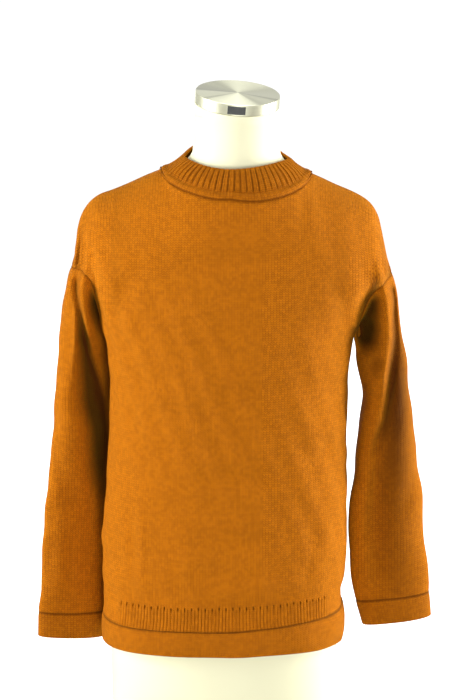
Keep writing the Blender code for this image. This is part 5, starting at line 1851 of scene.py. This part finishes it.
@dataclass
class Sleeve(Garment):
    """A tapered sleeve with the cuff sewn below it.

    Attributes:
        side: Side of the wearer.
        columns: Points around.
        rows: Points down the sleeve.
        cuff_rows: Points down the cuff.
        closeness: How much closer the rows lie near the armhole.
        seam_reach: Share of the length over which the armhole's shape fades.
        cuff_wall: Thickness of the turned cuff.
    """

    side: Side = Side.LEFT
    columns: int = 128
    rows: int = 150
    cuff_rows: int = 14
    closeness: float = 1.15
    seam_reach: float = 0.40
    cuff_wall: float = 0.0030

    def angles(self) -> Grid:
        """Places around the sleeve, from its outer edge over the front."""
        return 2.0 * math.pi * np.arange(self.columns) / self.columns

    def armhole(self) -> tuple[Grid, Grid]:
        """The armhole seam around the sleeve, with the way that it faces."""
        angle = self.angles()
        front = angle <= math.pi
        share = np.where(front, angle / math.pi, (2.0 * math.pi - angle) / math.pi)
        points = armhole_point(self.side, Face.FRONT, share)
        facing = armhole_facing(self.side, Face.FRONT, share)
        flip = np.where(front, 1.0, -1.0)
        points[:, 1] *= flip
        facing[:, 1] *= flip
        return points, facing

    def make_sleeve(self, material: Material) -> Object:
        """Build the sleeve."""
        seam, facing = self.armhole()
        angle = self.angles()
        share = np.linspace(0.0, 1.0, self.rows) ** self.closeness
        first = sleeve_ring(self.side, SLEEVE[self.side], share[:1], angle)
        outer = sleeve_ring(self.side, SLEEVE[self.side], share, angle)
        outer = outer + (1.0 - smoothstep(0.0, self.seam_reach, share))[:, None, None] * (seam[None] - first)
        depth = sleeve_hollow(self.side, np.abs(outer[..., 0]), outer[..., 2])
        depth = depth * smoothstep(0.0, 0.5, np.sin(angle))[None, :] * smoothstep(0.0, 0.05, share)[:, None]
        outer[..., 1] += depth
        centre = outer.mean(axis=1, keepdims=True)
        normals = grid_normals(outer, outer - centre, closed=True)
        normals[0] = facing
        normals[-1, :, 2] = 0.0
        normals = unit(normals)
        uv = self.flat(outer)
        turn = np.broadcast_to((angle / (2.0 * math.pi))[None, :], outer.shape[:2])
        down = np.broadcast_to(share[:, None], outer.shape[:2])
        fold = sum(crease.height(turn, down) for crease in CREASES[self.side])
        seed = 41 if self.side is Side.LEFT else 53
        fold = fold + Slack(0.0012, seed, (0.04, 0.10)).at(np.sin(angle)[None, :] * 0.05, uv[:, :-1, 1])
        from_top = share * 0.5
        mask = smoothstep(0.0, 0.05, from_top) * (1.0 - smoothstep(0.96, 1.0, share))
        dent = 0.0009 * (bell(from_top, 0.0035) + bell(0.5 - from_top, 0.003))
        under = 0.0008 * np.exp(-((np.minimum(np.abs(angle - math.pi), 1.0) / 0.05) ** 2))
        lift = fold * mask[:, None] - dent[:, None] - under[None, :]
        outer = outer + lift[..., None] * normals
        # Painted shade: in the sleeve's valleys and pockets, over the left sleeve's flank and along its
        # seams.
        shade = depth / POCKET_FULL_DEPTH
        if self.side is Side.LEFT:
            flank = fold_depth(FLANK_SHADE, outer[..., 0], outer[..., 2])
            shade = shade + flank * smoothstep(0.0, 0.3, np.sin(angle))[None, :]
        shade = np.minimum(shade, 0.94)
        seam_shade = 0.5 * bell(from_top, 0.0025) + 0.7 * bell(0.5 - from_top, 0.0016)
        painted_shade = np.maximum(shade, seam_shade[:, None])
        name = f"sleeve_{self.side.word}_cloth"
        fields = {"painted_shade": (painted_shade, painted_shade)}
        mesh = shell_mesh(name, outer, outer - KNIT_WALL * normals, uv, closed=True, fields=fields)
        return add_piece(name, mesh, material)

    def flat(self, outer: Grid) -> Grid:
        """Flat-cloth coordinates: distance around from the outer edge, and up from the cuff."""
        wrapped = np.concatenate([outer, outer[:, :1]], axis=1)
        up = run_along(wrapped, 0)
        return np.stack([run_along(wrapped, 1), up[-1:] - up], axis=-1)

    def make_cuff(self, material: Material) -> Object:
        """Build the cuff."""
        share = np.linspace(0.0, 0.96, self.cuff_rows)
        outer = sleeve_ring(self.side, CUFF[self.side], share, self.angles())
        outer[0, :, 2] -= 2.0 * SEAM_HALF_GAP
        centre = outer.mean(axis=1, keepdims=True)
        normals = grid_normals(outer, outer - centre, closed=True)
        normals[..., 2] = 0.0
        normals = unit(normals)
        outer = outer + (0.0007 * smoothstep(0.0, 0.2, share) - 0.0004)[:, None, None] * normals
        way = np.broadcast_to(np.array([0.0, 0.0, -1.0]), outer[-1].shape)
        loop = rolled_section(outer, normals, self.cuff_wall, way)
        around = self.flat(outer)[0, :, 0]
        steps = np.linalg.norm(np.diff(loop, axis=0), axis=2).mean(axis=1)
        height = np.concatenate([[0.0], np.cumsum(steps)])
        height = np.concatenate([-height, [-height[-1] - 0.002]])
        uv = np.stack(np.meshgrid(around, height), axis=-1)
        # Painted shade: a little over the whole cuff, and most just under its seam.
        painted_shade = np.zeros(loop.shape[:2])
        painted_shade[: self.cuff_rows] = (0.14 + 0.56 * bell(share, 0.04))[:, None]
        name = f"cuff_{self.side.word}_cloth"
        return add_piece(name, section_mesh(name, loop, uv, True, {"painted_shade": painted_shade}), material)

    def cuff_line(self) -> Grid:
        """Line of the seam between the sleeve and the cuff."""
        line = sleeve_ring(self.side, CUFF[self.side], np.zeros(1), self.angles())[0]
        centre = line.mean(axis=0)
        return line + 0.0006 * unit((centre - line) * np.array([1.0, 1.0, 0.0]))

    def armhole_line(self) -> Grid:
        """Line of the armhole seam, a little under the cloth's face."""
        seam, facing = self.armhole()
        return seam - 0.0009 * facing


@dataclass
class TorsoForm:
    """Smooth limbless form that the sweater hangs on, with its jersey cover."""

    columns: int = 144
    rows: int = 150
    rim: float = 0.012

    def level_ring(self, z: float, row: dict[str, float], angle: Grid) -> Grid:
        """Level ring of the form from a row of its table."""
        power = 2.0 / row["square"]
        cosine, sine = np.cos(angle), np.sin(angle)
        x = row["mid_x"] + row["half"] * np.sign(cosine) * np.abs(cosine) ** power
        depth = np.where(sine > 0.0, row["back"], row["front"])
        y = row["mid_y"] + depth * np.sign(sine) * np.abs(sine) ** power
        return np.stack([x, y, np.full_like(x, z)], axis=-1)

    def shoulder_ring(self, z: float, angle: Grid) -> Grid:
        """Level ring of the shoulders, just inside the cloth that rests on them."""
        ring = np.zeros((len(angle), 3))
        for side in Side:
            xs = np.linspace(0.02, 0.20, 240)
            zs = SHOULDER[side].at("z", xs) - FORM_SHOULDER_DROP
            reach = min(float(np.interp(-z, -zs, xs)), FORM_SHOULDER_REACH)
            for face in Face:
                here = (np.cos(angle) * side.sign >= 0.0) & (np.sin(angle) * face.sign >= 0.0)
                x = reach * np.cos(angle[here])
                depth = yoke_depth(side, face, x, np.full_like(x, z + FORM_SHOULDER_DROP))
                depth = depth * (1.0 - FORM_SHOULDER_INSET)
                depth = np.where(np.abs(np.sin(angle[here])) < 1e-6, 0.0, depth)
                ring[here] = np.stack([x, face.sign * depth, np.full_like(x, z)], axis=-1)
        return ring

    def rings(self) -> Grid:
        """The rings that the form passes through."""
        angle = 2.0 * math.pi * np.arange(self.columns) / self.columns
        rings = []
        for z in np.linspace(0.0, FORM.rows[-1, 0], 11):
            row = {column: float(FORM.at(column, z)) for column in FORM.columns}
            rings.append(self.level_ring(float(z), row, angle))
        rings += [self.shoulder_ring(z, angle) for z in FORM_SHOULDER_LEVELS]
        for z, mid_y, half, front, back in NECK.rows:
            row = {"mid_x": NECK_MID_X, "half": half, "mid_y": mid_y}
            row |= {"front": front, "back": back, "square": 2.0}
            rings.append(self.level_ring(z, row, angle))
        axis, side_way, back_way = cap_axes()
        top = np.array(CAP_CENTRE) - axis * (CAP_HEIGHT / 2.0 + CAP_SEAT_GAP)
        turn = np.cos(angle)[:, None] * side_way + np.sin(angle)[:, None] * back_way
        for level in (self.rim, 0.0):
            rings.append(top - axis * level + turn * CAP_RADIUS)
        return np.array(rings)

    def make(self, material: Material) -> Object:
        """Build the form."""
        rings = self.rings()
        gaps = np.linalg.norm(np.diff(rings, axis=0), axis=2).mean(axis=1)
        keys = np.concatenate([[0.0], np.cumsum(gaps)])
        fine = np.unique(np.concatenate([np.linspace(0.0, keys[-1], self.rows), keys]))
        grid = smooth_through(keys, rings, fine)
        around = run_along(np.concatenate([grid, grid[:, :1]], axis=1), 1)
        uv = np.stack([around, np.broadcast_to(fine[:, None], around.shape)], axis=-1)
        quads, i, j = quads_of(len(grid), self.columns, True)
        uvs = cell_uvs(uv, i, j).reshape(-1, 2)
        faces = [tuple(quad) for quad in quads.tolist()]
        last = (len(grid) - 1) * self.columns
        faces.append(tuple(range(self.columns)))
        faces.append(tuple(last + k for k in range(self.columns)))
        uvs = np.concatenate([uvs, grid[0, :, :2], grid[-1, :, :2]])
        mesh = mesh_of("torso_form_body", grid.reshape(-1, 3), faces, uvs)
        piece = add_piece("torso_form_body", mesh, material)
        return settle(piece, "form_cover", "torso_form")


def cap_axes() -> tuple[Grid, Grid, Grid]:
    """Way up of the leaning neck, with the ways to its side and back."""
    forward = -math.sin(CAP_TILT_FORWARD)
    sideways = math.sin(CAP_TILT_SIDE)
    axis = np.array([sideways, forward, math.sqrt(1.0 - forward**2 - sideways**2)])
    side_way = unit(np.cross(np.array([0.0, 1.0, 0.0]), axis))
    return axis, side_way, np.cross(axis, side_way)


@dataclass
class NeckCap:
    """Turned steel cap on the neck, with a blank plate on its front.

    Attributes:
        columns: Points around.
        edge: Radius of its rounded edges.
        plate: Width, height and thickness of the plate.
    """

    columns: int = 144
    edge: float = 0.0011
    plate: tuple[float, float, float] = (0.0250, 0.0115, 0.0006)

    def placed(self, radius: Grid, angle: Grid, height: Grid) -> Grid:
        """Points of the leaning cap from radius, angle and height; angle 0 is its front."""
        axis, side_way, back_way = cap_axes()
        turn = np.sin(angle)[..., None] * side_way - np.cos(angle)[..., None] * back_way
        return np.array(CAP_CENTRE) + height[..., None] * axis + radius[..., None] * turn

    def section(self) -> tuple[Grid, Grid]:
        """Radius and height of the cap's outline, from the top's middle to the underside's."""
        half = CAP_HEIGHT / 2.0
        flat = CAP_RADIUS - self.edge
        bend = np.linspace(0.0, math.pi / 2.0, 7)
        top = np.linspace(0.002, flat, 16)
        radius = [top, flat + self.edge * np.sin(bend[1:]), flat + self.edge * np.cos(bend), top[-2::-1]]
        height = [
            np.full(len(top), half),
            half - self.edge * (1.0 - np.cos(bend[1:])),
            -half + self.edge * (1.0 - np.sin(bend)),
            np.full(len(top) - 1, -half),
        ]
        return np.concatenate(radius), np.concatenate(height)

    def make_cap(self, material: Material) -> Object:
        """Build the cap."""
        radius, height = self.section()
        angle = 2.0 * math.pi * np.arange(self.columns) / self.columns
        size = (len(radius), self.columns)
        grid = self.placed(
            np.broadcast_to(radius[:, None], size),
            np.broadcast_to(angle[None, :], size),
            np.broadcast_to(height[:, None], size),
        )
        run = np.concatenate([[0.002], 0.002 + np.cumsum(np.hypot(np.diff(radius), np.diff(height)))])
        turns = np.linspace(0.0, 1.0, self.columns + 1)
        uv = np.stack(np.broadcast_arrays(run[:, None], turns[None, :]), axis=-1)
        quads, i, j = quads_of(len(radius), self.columns, True)
        uvs = cell_uvs(uv, i, j).reshape(-1, 2)
        faces = [tuple(quad) for quad in quads.tolist()]
        points = np.concatenate([grid.reshape(-1, 3), self.middle(height[0]), self.middle(height[-1])])
        top, under = len(points) - 2, len(points) - 1
        last = (len(radius) - 1) * self.columns
        ends = []
        for k in range(self.columns):
            n = (k + 1) % self.columns
            faces.append((top, k, n))
            ends += [(0.0, turns[k]), uv[0, k], uv[0, k + 1]]
            faces.append((under, last + n, last + k))
            ends += [(run[-1] + 0.002, turns[k]), uv[-1, k + 1], uv[-1, k]]
        mesh = mesh_of("turned_neck_cap", points, faces, np.concatenate([uvs, np.array(ends)]))
        piece = add_piece("turned_neck_cap", mesh, material)
        return settle(piece, "brushed_steel", "neck_cap")

    def middle(self, height: float) -> Grid:
        """Point on the cap's axis at a height."""
        return self.placed(np.zeros(1), np.zeros(1), np.array([height]))

    def make_plate(self, material: Material) -> Object:
        """Build the plate, bent around the cap's front."""
        width, tall, thick = self.plate
        near = CAP_RADIUS + CAP_SEAT_GAP
        across = np.linspace(-width / 2.0, width / 2.0, 13)
        up = np.linspace(tall / 2.0, -tall / 2.0, 5)
        x, z = np.meshgrid(across, up)
        grids = [self.placed(np.full(x.shape, near + far), x / CAP_RADIUS, z) for far in (thick, 0.0)]
        uv = np.stack([x, z], axis=-1)
        piece = add_piece("blank_cap_plate", shell_mesh("blank_cap_plate", grids[0], grids[1], uv), material)
        bevel = piece.modifiers.new("soft_edges", "BEVEL")
        bevel.width = 0.00022
        bevel.segments = 2
        bevel.limit_method = "ANGLE"
        bevel.angle_limit = math.radians(50.0)
        keep_modified(piece)
        return settle(piece, "dark_plate", "cap_plate")


@dataclass(frozen=True)
class SoftLight:
    """A large soft light: place, point that it faces, size and power."""

    name: str
    place: tuple[float, float, float]
    faces: tuple[float, float, float]
    size: tuple[float, float]
    power: float
    colour: tuple[float, float, float] = (1.0, 1.0, 1.0)

    def make(self) -> Object:
        """Add the light."""
        data = bpy.data.lights.new(self.name, "AREA")
        data.shape = "RECTANGLE"
        data.size, data.size_y = self.size
        data.energy = self.power
        data.color = self.colour
        light = bpy.data.objects.new(self.name, data)
        light.location = self.place
        way = Vector(self.faces) - Vector(self.place)
        light.rotation_euler = way.to_track_quat("-Z", "Y").to_euler()
        bpy.context.scene.collection.objects.link(light)
        return light


@dataclass
class Studio:
    """Pale floor, white surround, soft lights and the photograph's camera.

    Attributes:
        target: Point that the camera faces.
        distance: Distance of the camera from it.
        pitch: How far the camera looks down.
        roll: How far it is turned about its own line of sight.
        lens: Focal length for a 36 mm long side.
        surround: Brightness of the surround as light.
        seen_surround: Brightness of the surround as the camera sees it.
        mirrored_surround: Its brightness in reflections.
        floor_half: Half the floor's side.
        floor_z: Height of the floor.
    """

    target: tuple[float, float, float] = (0.0065, 0.0, 0.53)
    distance: float = 3.0
    pitch: float = math.radians(11.0)
    roll: float = math.radians(1.15)
    lens: float = 106.4
    surround: float = 0.17
    seen_surround: float = 1.05
    mirrored_surround: float = 0.85
    floor_half: float = 4.0
    floor_z: float = -0.0004
    lights: tuple[SoftLight, ...] = (
        SoftLight("left_bank", (-2.4, -0.55, 0.75), (0.0, 0.0, 0.4), (1.2, 1.6), 93.0),
        SoftLight("right_bank", (2.35, 0.3, 0.75), (0.0, 0.0, 0.4), (1.2, 1.6), 113.0),
        SoftLight("top_bank", (0.0, -0.4, 2.6), (0.0, 0.0, 0.5), (1.8, 1.2), 21.0),
        SoftLight("front_fill", (0.3, -3.3, 0.5), (0.0, 0.0, 0.38), (1.4, 1.2), 76.0),
        SoftLight("back_fill", (-0.5, 3.2, 0.9), (0.0, 0.0, 0.45), (1.4, 1.2), 28.0),
    )

    def make(self) -> None:
        """Build the floor, the surround, the lights and the camera."""
        self.make_floor()
        self.make_surround()
        for light in self.lights:
            light.make()
        self.make_camera()

    def make_floor(self) -> None:
        """Add the floor."""
        mesh = bpy.data.meshes.new("floor")
        signs = ((-1, -1), (1, -1), (1, 1), (-1, 1))
        corners = [(x * self.floor_half, y * self.floor_half, self.floor_z) for x, y in signs]
        mesh.from_pydata(corners, [], [(0, 1, 2, 3)])
        mesh.materials.append(FloorFinish("pale_floor").make())
        floor = bpy.data.objects.new("floor", mesh)
        bpy.context.scene.collection.objects.link(floor)

    def make_surround(self) -> None:
        """Add the white surround."""
        world = bpy.data.worlds.new("surround")
        world.use_nodes = True
        bpy.context.scene.world = world
        nodes = Nodes(world.node_tree)
        background = world.node_tree.nodes["Background"]
        seen = nodes.value("ShaderNodeLightPath", "Is Camera Ray") * (self.seen_surround - self.surround)
        mirrored = nodes.value("ShaderNodeLightPath", "Is Glossy Ray")
        extra = seen + mirrored * (self.mirrored_surround - self.surround)
        nodes.feed(background, {"Strength": extra + self.surround, "Color": (1.0, 1.0, 1.0, 1.0)})

    def make_camera(self) -> None:
        """Add the camera."""
        forward = Vector((0.0, math.cos(self.pitch), -math.sin(self.pitch)))
        level = Vector((1.0, 0.0, 0.0))
        upright = level.cross(forward)
        right = level * math.cos(self.roll) + upright * math.sin(self.roll)
        up = upright * math.cos(self.roll) - level * math.sin(self.roll)
        place = Vector(self.target) - self.distance * forward
        data = bpy.data.cameras.new("camera")
        data.lens = self.lens
        data.sensor_width = 36.0
        data.clip_end = 100.0
        camera = bpy.data.objects.new("camera", data)
        turn = Matrix((right, up, -forward)).transposed().to_4x4()
        camera.matrix_world = Matrix.Translation(place) @ turn
        bpy.context.scene.collection.objects.link(camera)
        bpy.context.scene.camera = camera
        bpy.context.scene.view_settings.view_transform = "Standard"


# Flat sizes of the cloth pieces
CUTS = {
    "panel": Cut(0.560, 0.660, 0.330),
    "band": Cut(0.340, 0.038, 0.0125),
    "welt": Cut(0.530, 0.044, 0.0220),
    "collar": Cut(0.520, 0.046, 0.0235),
    "sleeve": Cut(0.420, 0.520, 0.140),
    "cuff": Cut(0.240, 0.037, 0.0088),
}


def main() -> None:
    """Build every piece in order."""
    logging.basicConfig(level=logging.INFO, format="%(message)s")
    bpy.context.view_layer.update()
    reliefs = Reliefs()
    knit = KnitFinish("wool_stockinette").make()
    rib_knit = KnitFinish("wool_rib", wale=0.0036, course=0.0026).make()
    yarn = YarnFinish("wool_yarn").make()
    TorsoForm().make(FormCoverFinish("jersey_cover").make())
    cap = NeckCap()
    cap.make_cap(TurnedSteelFinish("turned_steel").make())
    cap.make_plate(PlateFinish("satin_plate").make())
    seam = Seam(reliefs, yarn)
    for face in Face:
        panel = Panel(face=face)
        cloth = panel.make_panel(knit)
        band = panel.make_band(reliefs, knit)
        panel.declare(band, CUTS["band"], (f"rib_band_{face.word}",), "rib_knit")
        panel.declare(cloth, CUTS["panel"], (face.word,), "knit")
        welt = HemWelt(face=face)
        edge = welt.make(knit)
        stitches = seam.lay(f"{face.word}_welt_stitches", welt.seam_line(), False)
        welt.declare(edge, CUTS["welt"], (f"hem_welt_{face.word}",), "knit", extras=(stitches,))
    collar = Collar()
    band = collar.make(reliefs, rib_knit)
    stitches = seam.lay("neck_stitches", collar.seam_line(), True)
    collar.declare(band, CUTS["collar"], ("collar",), "rib_knit", extras=(stitches,))
    for side in Side:
        sleeve = Sleeve(side=side)
        cloth = sleeve.make_sleeve(knit)
        armhole = seam.lay(f"armhole_{side.word}_stitches", sleeve.armhole_line(), True)
        sleeve.declare(cloth, CUTS["sleeve"], (f"sleeve_{side.word}",), "knit", "hung", (armhole,))
        cuff = sleeve.make_cuff(knit)
        stitches = seam.lay(f"cuff_{side.word}_stitches", sleeve.cuff_line(), True)
        sleeve.declare(cuff, CUTS["cuff"], (f"cuff_{side.word}",), "knit", "hung", (stitches,))
    Studio().make()


if __name__ == "__main__":
    main()
